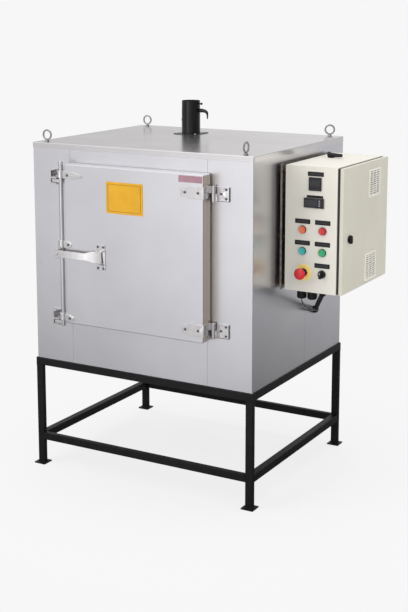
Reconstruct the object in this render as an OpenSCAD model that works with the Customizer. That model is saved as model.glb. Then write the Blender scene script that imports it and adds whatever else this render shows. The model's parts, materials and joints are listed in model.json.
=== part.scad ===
// Chamber kiln on a stand, with a front door, a damper chimney and a control enclosure on its right wall.
// Millimetres, +Z up, front towards -Y. The origin is on the floor, at the centre of the whole object.
// Places are measured from the body's left face (x), its front face (y) and the floor (z).

/* [Body] */
// Width of the insulated body
body_w = 960; // [940:5:1000]
// Depth of the insulated body
body_d = 785; // [770:5:860]
// Height of the insulated body
body_h = 860; // [850:5:900]
// Thickness of the body's sheet metal
sheet_t = 1.5; // [1:0.25:2]
// Height of the roof cap's folded lip
cap_lip = 22; // [12:1:35]
// Distance of the front sheet's left seam from the mouth
seam_left = 47; // [20:1:60]
// Distance of the front sheet's right seam from the mouth
seam_right = 16; // [10:1:30]
// Distance of the side panels' seam from the front
side_seam = 443; // [350:1:520]
// Width of each open seam
seam_gap = 1; // [0.6:0.1:2]

/* [Stand] */
// Height of the body's underside above the floor
stand_h = 440; // [380:5:600]
// Width of a leg tube, along x
leg_w = 30; // [25:1:40]
// Depth of a leg tube, along y
leg_d = 20; // [20:1:40]
// Side of the square top rail tube
rail_s = 30; // [25:1:40]
// Height of a lower stretcher tube
stretcher_h = 30; // [25:1:40]
// Height of the stretchers' underside
stretcher_z = 100; // [60:5:160]
// Wall of every stand tube
tube_wall = 2; // [1.5:0.5:3]
// How far the stand stands out past the body
rail_proud = 5; // [0:1:10]
// Side of a square foot plate
foot_s = 50; // [50:1:70]
// Thickness of a foot plate
foot_t = 5; // [4:1:8]

/* [Chamber] */
// Width of the chamber and of its mouth
chamber_w = 540; // [500:5:541]
// Height of the chamber and of its mouth
chamber_h = 550; // [520:5:551]
// Depth of the chamber behind the throat
chamber_d = 560; // [540:5:590]
// Depth of the throat frame in the mouth
throat_d = 90; // [85:5:100]
// Thickness of the chamber liner and throat frame
liner_t = 1.5; // [1:0.25:2]
// Number of heater runs on each side wall
heater_runs = 6; // [4:2:6]
// Radius of the heater rod
heater_r = 4; // [3:0.5:5]
// Pitch of the heater runs
heater_pitch = 80; // [60:5:80]
// Height of the rack above the chamber floor
rack_rise = 260; // [180:10:330]
// Radius of a rack wire
rack_wire_r = 3; // [2:0.5:4]
// Number of long rack wires
rack_wires = 13; // [9:1:17]

/* [Oven door] */
// How far the door laps over each side of the mouth
lap_side = 31.5; // [30:0.5:34]
// How far the door laps over the mouth's top and bottom
lap_level = 32; // [30:0.5:34]
// Distance of the door's middle to the right of the body's
door_shift = 9.5; // [0:0.5:12]
// Distance of the door's top edge below the roof
door_below = 69; // [50:1:90]
// Depth of the front pan
front_pan_d = 30; // [26:1:34]
// Depth of the rear pan
rear_pan_d = 22; // [20:1:24]
// Thickness of the pressed rope gasket
gasket_t = 8; // [6:1:10]
// Width of the rope gasket
gasket_w = 22; // [14:1:24]
// Depth of the insulated plug in the mouth
plug_d = 70; // [50:5:75]
// Gap between the plug and the mouth on each side
plug_gap = 12; // [10:1:16]
// Corner radius of the door pans
door_r = 6; // [3:1:10]

/* [Door hinges] */
// Distance of the pin from the door's right edge
hinge_out = 17; // [16:1:20]
// Distance of the pin in front of the body
hinge_fore = 14; // [13:1:16]
// Radius of the hinge pin
pin_r = 5; // [4:0.5:6]
// Radius of the hinge knuckle
knuckle_r = 8; // [7.5:0.5:9]
// Height of a door strap
strap_h = 44; // [40:1:50]
// Length of a door strap on the door's face
strap_l = 92; // [85:1:110]
// Thickness of straps, brackets and guides
strap_t = 4; // [3:0.5:4.5]
// Distance of the upper strap's underside below the door's top edge
strap_hi = 88; // [80:1:130]
// Height of the lower strap's underside above the door's
strap_lo = 24; // [20:1:60]

/* [Lock bar] */
// Radius of the lock bar
bar_r = 9; // [8:0.5:10]
// Distance of the bar's axis from the door's left edge
bar_out = 25; // [25:1:26]
// Distance of the bar's axis in front of the body
bar_fore = 45; // [44:1:47]
// Reach of a cam from the bar's axis
cam_l = 40; // [37:1:41]
// Thickness of a cam
cam_t = 12; // [8:1:13]
// Height of the lever's centre above the door's underside
lever_rise = 272; // [220:1:330]
// Straight length of the lever
lever_l = 128; // [115:1:135]
// Thickness of the lever bar
lever_t = 6; // [5:0.5:7]
// Height of the lever's straight bar
lever_h = 28; // [24:1:32]
// Height of the lever's hand end
grip_h = 43; // [36:1:46]

/* [Chimney] */
// Distance of the chimney from the body's left face
flue_x = 375; // [330:5:600]
// Distance of the chimney from the body's front
flue_y = 570; // [400:5:580]
// Outer radius of the chimney tube
flue_r = 38; // [34:1:44]
// How far the tube's open end is drawn in, so that a duct slips on
flue_swage = 0.5; // [0.3:0.1:0.8]
// Length of the drawn-in end
flue_spigot = 32; // [28:1:33]
// Height of the chimney above the roof
flue_h = 136; // [130:1:200]
// Height of the damper shaft above the roof
damper_h = 96; // [80:1:97]
// Side of the square roof flange
flue_flange = 106; // [96:1:130]
// Length of the damper shaft outside the tube
damper_out = 42; // [35:1:50]
// Length of the damper lever
damper_lever = 28; // [22:1:36]

/* [Lifting eyes] */
// Outer radius of an eye
eye_r = 21.5; // [18:0.5:25]
// Radius of the eye's rod
eye_rod_r = 3.5; // [3:0.25:4.5]
// Distance of the eyes from the side edges
eye_in_x = 46; // [40:1:90]
// Distance of the eyes from the front and rear edges
eye_in_y = 30; // [25:1:90]

/* [Control enclosure] */
// Width of the enclosure box, out from the wall
enc_w = 204; // [200:2:240]
// Depth of the enclosure, along the wall
enc_d = 425; // [415:5:450]
// Height of the enclosure
enc_h = 462; // [450:2:480]
// Distance of the enclosure from the body's front
enc_y = 195; // [180:5:205]
// Height of the enclosure's underside
enc_z = 790; // [770:2:800]
// Gap from the wall to the enclosure's back
enc_gap = 30; // [26:1:40]
// Enclosure sheet thickness
enc_t = 1.5; // [1:0.25:2]
// Depth of the enclosure door's fold
enc_door_t = 14; // [12:1:18]
// Thickness of the enclosure door's gasket
enc_seal = 10; // [8:1:12]
// Side of a square vent grille, along y
vent_w = 106; // [100:1:110]
// Height of a vent grille
vent_h = 104; // [98:1:108]

/* [Controls] */
// Distance of the left column of controls from the box's back
ctrl_left = 70; // [66:1:74]
// Pitch between the two columns
ctrl_pitch_x = 79; // [74:1:84]
// Distance of the top row of buttons below the box's top
ctrl_row = 232; // [226:1:236]
// Pitch between the rows
ctrl_pitch_z = 79; // [76:1:80]
// Outer radius of a 22 mm device's bezel
bezel_r = 14.75; // [14:0.25:15]
// Radius of the hole for a 22 mm device
device_r = 11.15; // [11:0.05:11.3]
// Travel of a push button
button_travel = 4; // [2:0.5:4]
// Radius of the emergency stop's head
stop_r = 20; // [18:0.5:20]
// Radius of the emergency stop's yellow disc
disc_r = 30; // [28:0.5:31]

/* [Hidden] */
$fn = 48;
run_fit = 0.05;     // radial clearance of a turning or sliding fit
hole_fit = 0.3;     // radial clearance of a loose hole
screw_r = 4.5;
screw_h = 2.5;

door_t = front_pan_d + rear_pan_d + gasket_t;
front_y = -door_t;
lever_y = front_y - 24;
damper_gap = 1.5;
flue_t = 1.5;
latch_r = 12;
latch_proud = 15;

// Overall box, and the body's corner in it
foot_over_x = rail_proud + (foot_s - leg_w) / 2;
foot_over_y = rail_proud + (foot_s - leg_d) / 2;
enc_x = body_w + enc_gap;
enc_door_x = enc_x + enc_w + enc_seal;
enc_face_x = enc_door_x + enc_door_t;
total_w = foot_over_x + enc_face_x + latch_proud;
total_d = -lever_y + body_d + foot_over_y;
body_x = foot_over_x - total_w / 2;
body_y = -lever_y - total_d / 2;

roof_z = stand_h + body_h;
panel_z = stand_h + sheet_t;
panel_h = body_h - 2 * sheet_t;
door_w = chamber_w + 2 * lap_side;
door_h = chamber_h + 2 * lap_level;
door_x = (body_w - door_w) / 2 + door_shift;
door_z = roof_z - door_below - door_h;
mouth_x = door_x + door_w / 2 - chamber_w / 2;
mouth_z = door_z + door_h / 2 - chamber_h / 2;
chamber_y = throat_d;
chamber_back = chamber_y + chamber_d;
chamber_top = mouth_z + chamber_h;
strip_left = mouth_x - seam_left;
strip_right = body_w - mouth_x - chamber_w - seam_right;

pin_x = door_x + door_w + hinge_out;
pin_y = -hinge_fore;
bar_x = door_x - bar_out;
bar_y = -bar_fore;
bar_z = door_z - 17;
bar_l = door_h + 26;
cam_w = 16;
cam_gap = 1.5;
keeper_h = 53;
keeper_jaw = 6.5;
guide_h = 26;
eye_wall = 6;
top_guide_z = door_z + door_h - 54;
low_guide_z = door_z + 7;
mid_guide_z = door_z + lever_rise + 22;
top_cam_z = top_guide_z - 19;
low_cam_z = low_guide_z - 16;
lever_z = door_z + lever_rise;
grip_y = front_y - 13;
grip_x = bar_x + lever_l + 27;
grip_l = 42;
catch_x = grip_x + 15;
catch_w = 38;

flue_bore = flue_r - flue_t;
flue_collar = 2 * flue_r + 40;
flue_taper = 2;
flue_flange_t = 3;
board_seam = 0.5;
damper_z = roof_z + damper_h;
damper_rod_r = 4;
damper_hub_r = 6;
damper_hub_l = 28;
damper_hub_gap = 0.5;
damper_arm_r = 2.5;

shield_x = body_w + 10;
shield_t = 2;
bolt_r = 4;
enc_top = enc_z + enc_h;
enc_back = enc_y + enc_d;
enc_lip = 14;
enc_hinge_r = 6;
enc_pin_r = 3;
enc_pin_x = enc_x + enc_w + 5;
enc_pin_y = enc_back + enc_hinge_r;
enc_leaf_t = 2;
enc_hinge_z = [enc_z + 60, enc_top - 110];
enc_hinge_h = 50;
latch_y = enc_y + 54;
latch_z = enc_z + 199;
vent_y = [enc_y + 231, enc_y + 205];
vent_z = [enc_top - 136, enc_z + 14];

ctrl_x = [enc_x + ctrl_left, enc_x + ctrl_left + ctrl_pitch_x];
ctrl_z = [for (row = [0:2]) enc_top - ctrl_row - row * ctrl_pitch_z];
stop_x = ctrl_x[0] + 6;
meter_w = 77;
meter_h = 35;
gauge_s = 48;
gauge_body = 44;
meter_x = enc_x + 114;
meter_z = enc_top - 132;
gauge_x = meter_x + 4;
gauge_z = enc_top - 63;
frame_t = 6;
key_travel = 0.8;
key_proud = 1.4;
key_x = meter_x + 23;

// Cable entries under and on top of the enclosure, and on the body's wall
gland_in = 70;
gland_first = 38;
gland_pitch = 42;
conduit_gland_in = 122;
conduit_gland_back = 4;
gland_y = enc_y + gland_in;
lead_gland_x = enc_x + gland_first;
mains_gland_x = lead_gland_x + gland_pitch;
conduit_gland_x = enc_x + conduit_gland_in;
conduit_gland_y = gland_y + conduit_gland_back;
gland_drop = 42;
gland_hex_h = 14;
elbow_r = 12;
elbow_l = 24;
top_gland_in = 58;
top_gland_back = 270;
top_gland_l = 58;
gland_thread_r = 12;
mains_bore_r = 8;
conduit_in_y = 520;
conduit_in_z = 640;
conduit_wall = [body_w, conduit_in_y, conduit_in_z];
conduit_r = 9;
conduit_bore_r = 6;
probe_y = 447;
probe_rise = 11;
probe_wall = [body_w, probe_y, mouth_z + probe_rise];
probe_r = 4;
probe_head_r = 9;
probe_head_l = 30;
lead_r = 2;
fitting_l = 8;

// Bends of the conduit and of the probe's lead, as the four points of a cubic curve
conduit_top = [conduit_gland_x, conduit_gland_y, enc_z - gland_hex_h];
conduit_low = conduit_wall + [fitting_l, 0, 0];
conduit_way = (conduit_low - conduit_top) / norm(conduit_low - conduit_top);
conduit_from = conduit_top + elbow_l * conduit_way;
conduit_to = conduit_low - elbow_l * conduit_way;
conduit_route = [
    conduit_from,
    conduit_from + (conduit_to - conduit_from) / 3,
    conduit_to - (conduit_to - conduit_from) / 3,
    conduit_to
];
lead_route = [
    [lead_gland_x, gland_y, enc_z - gland_drop],
    [lead_gland_x, gland_y, 690],
    [probe_wall[0] + 100, probe_wall[1], probe_wall[2]],
    [probe_wall[0] + probe_head_l, probe_wall[1], probe_wall[2]]
];

// Block with its low corner at p
module block(p, s) {
    translate([body_x + p[0], body_y + p[1], p[2]]) cube(s);
}

// Moves a shape from the body's corner frame to the part's frame
module at(p) {
    translate([body_x + p[0], body_y + p[1], p[2]]) children();
}

// Places children at p with their z axis along a unit vector
module along(p, way) {
    at(p) rotate([0, acos(way[2]), atan2(way[1], way[0])]) children();
}

module round_rect(w, h, r) {
    translate([r, 0]) square([w - 2 * r, h]);
    translate([0, r]) square([w, h - 2 * r]);
    for (x = [r, w - r], z = [r, h - r]) translate([x, z]) circle(r);
}

// Upright plate with round corners, t thick from y towards the rear
module face_plate(p, w, h, t, r) {
    at([p[0], p[1] + t, p[2]]) rotate([90, 0, 0]) linear_extrude(t) round_rect(w, h, r);
}

module rod_x(p, r, l) {
    at(p) rotate([0, 90, 0]) cylinder(r = r, h = l);
}

module rod_y(p, r, l) {
    at(p) rotate([-90, 0, 0]) cylinder(r = r, h = l);
}

module rod_z(p, r, l) {
    at(p) cylinder(r = r, h = l);
}

// Rectangular tube along one axis: s is its outer size, axis 0, 1 or 2
module box_tube(p, s, axis, wall) {
    in_size = [for (i = [0:2]) i == axis ? s[i] + 2 : s[i] - 2 * wall];
    in_pos = [for (i = [0:2]) i == axis ? p[i] - 1 : p[i] + wall];
    difference() {
        block(p, s);
        block(in_pos, in_size);
    }
}

// Rectangular tube along x, closed by a plate at both ends
module capped_tube(p, s, wall) {
    difference() {
        block(p, s);
        block([for (i = [0:2]) p[i] + wall], [for (i = [0:2]) s[i] - 2 * wall]);
    }
}

// Point of a cubic curve, and its direction
function curve(q, t) = pow(1 - t, 3) * q[0] + 3 * pow(1 - t, 2) * t * q[1]
    + 3 * (1 - t) * t * t * q[2] + pow(t, 3) * q[3];
function slope(q, t) = 3 * pow(1 - t, 2) * (q[1] - q[0]) + 6 * (1 - t) * t * (q[2] - q[1])
    + 3 * t * t * (q[3] - q[2]);
function unit(v) = v / norm(v);

// Ring of points round a place, square to a direction
function ring(place, way, r, sides) = let (side = unit(cross(way, [-1, 2, 8])), over = unit(cross(way, side)))
    [for (k = [0:sides - 1]) place + r * (cos(360 * k / sides) * side + sin(360 * k / sides) * over)];

// Rings along a route that runs straight at both ends: radii holds one radius for each ring
function rings_along(q, straight, radii, sides) = let (last = len(radii) - 1, way0 = unit(slope(q, 0)),
    way1 = unit(slope(q, 1)), bend = [q[0] + straight * way0, q[1], q[2], q[3] - straight * way1])
    concat(ring(q[0], way0, radii[0], sides),
        [for (i = [0:last]) each ring(curve(bend, i / last), slope(bend, i / last), radii[i], sides)],
        ring(q[3], way1, radii[last], sides));

// Faces of a sleeve of rings, which start at point first
function sleeve(first, count, sides) = [for (i = [0:count - 2], k = [0:sides - 1])
    let (a = first + i * sides + k, b = first + i * sides + (k + 1) % sides)
        each [[a, b, b + sides], [a, b + sides, a + sides]]];
function flipped(faces) = [for (f = faces) [f[2], f[1], f[0]]];

// Faces between two rings of points at one end of a hose
function end_face(outer, inner, sides) = [for (k = [0:sides - 1]) let (n = (k + 1) % sides)
    each [[outer + k, inner + k, inner + n], [outer + k, inner + n, outer + n]]];

// Solid round cord along a route
module cord(q, straight, r, count, sides) {
    total = count + 2;
    back = (total - 1) * sides;
    ends = [for (k = [1:sides - 2]) each [[0, k + 1, k], [back, back + k, back + k + 1]]];
    at([0, 0, 0]) polyhedron(rings_along(q, straight, [for (i = [1:count]) r], sides),
        concat(sleeve(0, total, sides), ends));
}

// Ribbed hose with a bore along a route: a rib is one wide ring and one narrow ring
module hose(q, straight, r, rib_depth, bore_r, ribs, sides) {
    count = 2 * ribs + 1;
    bore_count = ribs;
    outer = rings_along(q, straight, [for (i = [1:count]) i % 2 == 0 ? r : r - rib_depth], sides);
    inner = rings_along(q, straight, [for (i = [1:bore_count]) bore_r], sides);
    first = len(outer);
    at([0, 0, 0]) polyhedron(concat(outer, inner), concat(
        sleeve(0, count + 2, sides),
        flipped(sleeve(first, bore_count + 2, sides)),
        end_face(0, first, sides),
        flipped(end_face(first - sides, first + (bore_count + 1) * sides, sides))));
}

// Flat-headed screw on a face towards the front
module face_screw(x, y, z) {
    rod_y([x, y - screw_h, z], screw_r, screw_h);
}

module stand_legs() {
    color("#1c1c1e") for (x = [-rail_proud, body_w + rail_proud - leg_w],
            y = [-rail_proud, body_d + rail_proud - leg_d]) {
        box_tube([x, y, foot_t], [leg_w, leg_d, stand_h - rail_s - foot_t], 2, tube_wall);
        block([x - (foot_s - leg_w) / 2, y - (foot_s - leg_d) / 2, 0], [foot_s, foot_s, foot_t]);
    }
}

module top_rails() {
    z = stand_h - rail_s;
    span = body_w + 2 * rail_proud;
    color("#1e1e20") for (y = [-rail_proud, body_d + rail_proud - rail_s])
        capped_tube([-rail_proud, y, z], [span, rail_s, rail_s], tube_wall);
    color("#1e1e20") for (x = [-rail_proud, body_w + rail_proud - rail_s])
        box_tube([x, rail_s - rail_proud, z], [rail_s, body_d + 2 * rail_proud - 2 * rail_s, rail_s], 1,
            tube_wall);
}

module stretchers() {
    inner_x = leg_w - rail_proud;
    inner_y = leg_d - rail_proud;
    color("#1e1e20") for (y = [-rail_proud, body_d + rail_proud - leg_d])
        box_tube([inner_x, y, stretcher_z], [body_w - 2 * inner_x, leg_d, stretcher_h], 0, tube_wall);
    color("#1e1e20") for (x = [-rail_proud, body_w + rail_proud - leg_w])
        box_tube([x, inner_y, stretcher_z], [leg_w, body_d - 2 * inner_y, stretcher_h], 1, tube_wall);
}

module base_pan() {
    color("#b4b4b8") block([0, 0, stand_h], [body_w, body_d, sheet_t]);
}

// One side of the casing: a front sheet with its return, and a rear sheet
module side_sheets(x, return_x, return_w) {
    block([x, 0, panel_z], [sheet_t, side_seam - seam_gap / 2, panel_h]);
    block([return_x, 0, panel_z], [return_w, sheet_t, panel_h]);
    block([x, side_seam + seam_gap / 2, panel_z], [sheet_t, body_d - side_seam - seam_gap / 2, panel_h]);
}

module side_panel_left() {
    color("#a9a9ad") side_sheets(0, 0, strip_left);
}

module side_panel_right() {
    color("#908e8f") difference() {
        side_sheets(body_w - sheet_t, body_w - strip_right, strip_right);
        rod_x([body_w - 10, probe_wall[1], probe_wall[2]], probe_r + hole_fit, 20);
        rod_x([body_w - 10, conduit_wall[1], conduit_wall[2]], conduit_r, 20);
    }
}

module rear_panel() {
    color("#a0a0a4") block([sheet_t, body_d - sheet_t, panel_z], [body_w - 2 * sheet_t, sheet_t, panel_h]);
}

module front_panel() {
    x = strip_left + seam_gap;
    w = body_w - strip_left - strip_right - 2 * seam_gap;
    color("#d8d8da") difference() {
        block([x, 0, panel_z], [w, sheet_t, panel_h]);
        block([mouth_x - liner_t, -1, mouth_z - liner_t],
            [chamber_w + 2 * liner_t, sheet_t + 2, chamber_h + 2 * liner_t]);
    }
}

module roof_cap() {
    color("#c8c8ca") difference() {
        block([-sheet_t, -sheet_t, roof_z - cap_lip],
            [body_w + 2 * sheet_t, body_d + 2 * sheet_t, cap_lip]);
        block([0, 0, roof_z - cap_lip - 1], [body_w, body_d, cap_lip + 1 - sheet_t]);
        rod_z([flue_x, flue_y, roof_z - 10], flue_r + hole_fit, 20);
    }
}

guide_post = 14;
guide_post_d = 16;
runner_w = 28;
runner_t = 3;
post_y = [30, chamber_d - 46];

// Heater runs lie between the posts of the rack guides: places from the chamber's corner
heater_y0 = post_y[0] + guide_post_d + heater_pitch / 2 + heater_r + 2;
heater_y1 = post_y[1] - heater_pitch / 2 - heater_r - 2;
heater_z0 = (chamber_h - (heater_runs - 1) * heater_pitch) / 2;
heater_wall = heater_r + 4;
heater_lead = 60;

// Straight leads of one heater through the wall, with a radius to cut their holes
module heater_leads(r) {
    for (z = [heater_z0, heater_z0 + (heater_runs - 1) * heater_pitch])
        translate([-heater_lead, heater_y0, z]) rotate([0, 90, 0])
            cylinder(r = r, h = heater_lead + heater_wall);
}

// Places a shape drawn from the chamber's low left corner on its left and right walls
module both_walls() {
    at([mouth_x, chamber_y, mouth_z]) children();
    at([mouth_x + chamber_w, chamber_y, mouth_z]) mirror([1, 0, 0]) children();
}

// Boards of a slab that lie round a square hole: open seams keep them apart
module boards_round_hole(p, s, hole, seam) {
    x = [hole[0] - hole[2] / 2, hole[0] + hole[2] / 2];
    y = [hole[1] - hole[2] / 2, hole[1] + hole[2] / 2];
    block(p, [s[0], y[0] - p[1], s[2]]);
    block([p[0], y[1], p[2]], [s[0], p[1] + s[1] - y[1], s[2]]);
    block([p[0], y[0] + seam, p[2]], [x[0] - p[0], y[1] - y[0] - 2 * seam, s[2]]);
    block([x[1], y[0] + seam, p[2]], [p[0] + s[0] - x[1], y[1] - y[0] - 2 * seam, s[2]]);
}

module wall_insulation() {
    z0 = mouth_z - liner_t;
    z1 = chamber_top + liner_t;
    x0 = mouth_x - liner_t;
    x1 = mouth_x + chamber_w + liner_t;
    y0 = sheet_t;
    full_w = body_w - 2 * sheet_t;
    full_d = body_d - 2 * sheet_t;
    side_z = z0 + board_seam;
    side_h = z1 - z0 - 2 * board_seam;
    color("#e6e0d0") {
        boards_round_hole([sheet_t, y0, z1], [full_w, full_d, roof_z - sheet_t - z1],
            [flue_x, flue_y, 2 * (flue_r + hole_fit)], board_seam);
        block([x0 + board_seam, chamber_back + liner_t, side_z],
            [x1 - x0 - 2 * board_seam, body_d - sheet_t - chamber_back - liner_t, side_h]);
        difference() {
            union() {
                block([sheet_t, y0, panel_z], [full_w, full_d, z0 - panel_z]);
                block([sheet_t, y0, side_z], [x0 - sheet_t, full_d, side_h]);
                block([x1, y0, side_z], [body_w - sheet_t - x1, full_d, side_h]);
            }
            both_walls() heater_leads(heater_r + hole_fit);
            rod_x([x1 - 1, probe_wall[1], probe_wall[2]], probe_r + hole_fit, body_w);
            rod_x([body_w - heater_lead, conduit_wall[1], conduit_wall[2]], conduit_r, body_w);
        }
    }
}

// Liner of separate sheets with open seams, and a collar plate in its roof round the flue
module chamber_liner() {
    wide = chamber_w + 2 * liner_t;
    deep = chamber_d + liner_t;
    side_z = mouth_z + board_seam;
    side_h = chamber_h - 2 * board_seam;
    x0 = mouth_x - liner_t;
    collar_in = flue_collar - 2 * board_seam;
    color("#9a958c") {
        block([x0, chamber_y, mouth_z - liner_t], [wide, deep, liner_t]);
        block([x0, chamber_back, side_z], [wide, liner_t, side_h]);
        difference() {
            for (x = [x0, mouth_x + chamber_w])
                block([x, chamber_y, side_z], [liner_t, chamber_d - board_seam, side_h]);
            both_walls() heater_leads(heater_r + hole_fit);
            rod_x([mouth_x + chamber_w - 5, probe_wall[1], probe_wall[2]], probe_r + hole_fit, 20);
        }
        boards_round_hole([x0, chamber_y, chamber_top], [wide, deep, liner_t],
            [flue_x, flue_y, flue_collar], board_seam);
        difference() {
            block([flue_x - collar_in / 2, flue_y - collar_in / 2, chamber_top],
                [collar_in, collar_in, liner_t]);
            rod_z([flue_x, flue_y, chamber_top - 5], flue_r + hole_fit, 20);
        }
    }
}

module throat_frame() {
    color("#a8a49c") box_tube([mouth_x - liner_t, 0, mouth_z - liner_t],
        [chamber_w + 2 * liner_t, throat_d, chamber_h + 2 * liner_t], 1, liner_t);
}

// Half-turn bend of the heater rod, bulging towards +y
module heater_bend() {
    rotate([0, 90, 0]) rotate_extrude(angle = 180)
        translate([heater_pitch / 2, 0]) circle(heater_r);
}

module heating_elements() {
    color("#5a5048") both_walls() {
        heater_leads(heater_r);
        for (i = [0:heater_runs - 1]) translate([heater_wall, heater_y0, heater_z0 + i * heater_pitch])
            rotate([-90, 0, 0]) cylinder(r = heater_r, h = heater_y1 - heater_y0);
        for (i = [0:heater_runs - 2]) translate([heater_wall, i % 2 == 0 ? heater_y1 : heater_y0,
                heater_z0 + (i + 0.5) * heater_pitch])
            mirror([0, i % 2, 0]) heater_bend();
        for (i = [0, heater_runs - 1]) translate([heater_wall, heater_y0, heater_z0 + i * heater_pitch])
            sphere(heater_r);
    }
}

module rack_guides() {
    color("#8c8880") both_walls() {
        for (y = post_y) translate([0, y, 0]) cube([guide_post, guide_post_d, chamber_h - 40]);
        for (rise = [rack_rise - 120, rack_rise, rack_rise + 120]) {
            translate([guide_post, 20, rise]) cube([runner_w, chamber_d - 50, runner_t]);
            translate([guide_post, 20, rise]) cube([runner_t, chamber_d - 50, 14]);
        }
    }
}

module wire_rack() {
    gap = 1;
    x0 = mouth_x + guide_post + runner_t + gap;
    w = chamber_w - 2 * (guide_post + runner_t + gap);
    y0 = chamber_y + 24;
    d = chamber_d - 60;
    z = mouth_z + rack_rise + runner_t + rack_wire_r;
    step = (w - 2 * rack_wire_r) / (rack_wires - 1);
    color("#b0aca4") {
        for (i = [0:rack_wires - 1]) rod_y([x0 + rack_wire_r + i * step, y0, z], rack_wire_r, d);
        for (y = [y0 + 20, y0 + d / 2, y0 + d - 20])
            block([x0 + 1, y, z + rack_wire_r - 2], [w - 2, 10, 3]);
    }
}

module thermocouple() {
    color("#3a3a3e") {
        rod_x([mouth_x + chamber_w - 40, probe_wall[1], probe_wall[2]], probe_r,
            body_w - mouth_x - chamber_w + 40);
        rod_x([body_w, probe_wall[1], probe_wall[2]], probe_head_r, probe_head_l);
    }
}

module probe_lead() {
    color("#8a8a8c") cord(lead_route, 2 * lead_r, lead_r, 30, 8);
}

module chimney() {
    z0 = chamber_top;
    spigot_z = roof_z + flue_h - flue_spigot;
    color("#1e1e20") difference() {
        union() {
            rod_z([flue_x, flue_y, z0], flue_r, spigot_z - flue_taper - z0);
            at([flue_x, flue_y, spigot_z - flue_taper])
                cylinder(r1 = flue_r, r2 = flue_r - flue_swage, h = flue_taper);
            rod_z([flue_x, flue_y, spigot_z], flue_r - flue_swage, flue_spigot);
            block([flue_x - flue_flange / 2, flue_y - flue_flange / 2, roof_z],
                [flue_flange, flue_flange, flue_flange_t]);
        }
        rod_z([flue_x, flue_y, z0 - 1], flue_bore, roof_z + flue_h - z0 + 2);
        rod_x([flue_x - flue_r - 5, flue_y, damper_z], damper_rod_r + run_fit, 2 * flue_r + 10);
    }
}

// Damper: shaft with its blade in the tube, and outside a thick hub and a thin arm that hangs down
module damper() {
    wall_x = flue_x + flue_r;
    arm_x = wall_x + damper_out - damper_arm_r;
    hub_x = wall_x + damper_hub_gap;
    color("#242426") {
        rod_x([flue_x - flue_r - 4, flue_y, damper_z], damper_rod_r, hub_x + 1 - flue_x + flue_r + 4);
        rod_y([flue_x, flue_y - 1, damper_z], flue_bore - damper_gap, 2);
        rod_x([hub_x, flue_y, damper_z], damper_hub_r, damper_hub_l);
        rod_x([hub_x, flue_y, damper_z], damper_arm_r, arm_x - hub_x);
        at([arm_x, flue_y, damper_z]) sphere(damper_arm_r);
        rod_z([arm_x, flue_y, damper_z - damper_lever], damper_arm_r, damper_lever);
    }
}

// Which way each eye faces, in degrees from the front, in the order of the loops below
eye_turn = [[0, 0], [90, 30]];

module lifting_eyes() {
    color("#3c3c40") for (i = [0, 1], j = [0, 1])
        at([i == 0 ? eye_in_x : body_w - eye_in_x, j == 0 ? eye_in_y : body_d - eye_in_y, roof_z]) {
            cylinder(r = 9, h = 5);
            cylinder(r = 4, h = 9);
            translate([0, 0, 5 + eye_r]) rotate([90, 0, eye_turn[i][j]]) rotate_extrude()
                translate([eye_r - eye_rod_r, 0]) circle(eye_rod_r);
        }
}

bracket_l = 54;
bracket_drop = 12;
strap_base = [door_z + strap_lo, door_z + door_h - strap_hi];
strap_split = 17;

// Fixed half of a door hinge: plate, lower knuckle, pin and screws
module hinge_bracket(z) {
    bottom = z - bracket_drop;
    block([pin_x + 4, -strap_t, bottom], [bracket_l, strap_t, strap_h + bracket_drop - 2]);
    block([pin_x + 4, pin_y, bottom], [8, hinge_fore, strap_split + bracket_drop]);
    block([pin_x, pin_y - 4, bottom], [8, 8, strap_split + bracket_drop]);
    rod_z([pin_x, pin_y, bottom], knuckle_r, strap_split + bracket_drop);
    rod_z([pin_x, pin_y, bottom - 3], pin_r, strap_h + bracket_drop + 5);
    for (spot = [[26, 0.5], [46, 0.8], [46, 0.2]])
        face_screw(pin_x + spot[0], -strap_t, bottom + spot[1] * (strap_h + bracket_drop));
}

module hinge_brackets() {
    color("#b8b8bc") for (z = strap_base) hinge_bracket(z);
}

// Door half of a hinge: tapered leaf, wrap round the door's edge, and upper knuckle
module hinge_strap(z) {
    edge_x = door_x + door_w;
    knuckle_z = z + strap_split + 0.5;
    knuckle_h = strap_h - strap_split - 0.5;
    leaf_l = strap_l + strap_t;
    difference() {
        union() {
            at([edge_x + strap_t, front_y, z]) rotate([90, 0, 0]) linear_extrude(strap_t)
                polygon([[0, 0], [0, strap_h], [40 - leaf_l, strap_h], [-leaf_l, strap_h - 8],
                    [-leaf_l, 8], [40 - leaf_l, 0]]);
            block([edge_x, front_y - strap_t, z], [strap_t, -front_y + strap_t + pin_y, strap_h]);
            block([edge_x, pin_y - 4, knuckle_z], [hinge_out, 8, knuckle_h]);
            rod_z([pin_x, pin_y, knuckle_z], knuckle_r, knuckle_h);
        }
        rod_z([pin_x, pin_y, knuckle_z - 1], pin_r + run_fit, knuckle_h + 2);
    }
    for (out = [19, 73]) face_screw(edge_x - out, front_y - strap_t, z + strap_h / 2);
}

module hinge_straps() {
    color("#c4c4c8") for (z = strap_base) hinge_strap(z);
}

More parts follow.
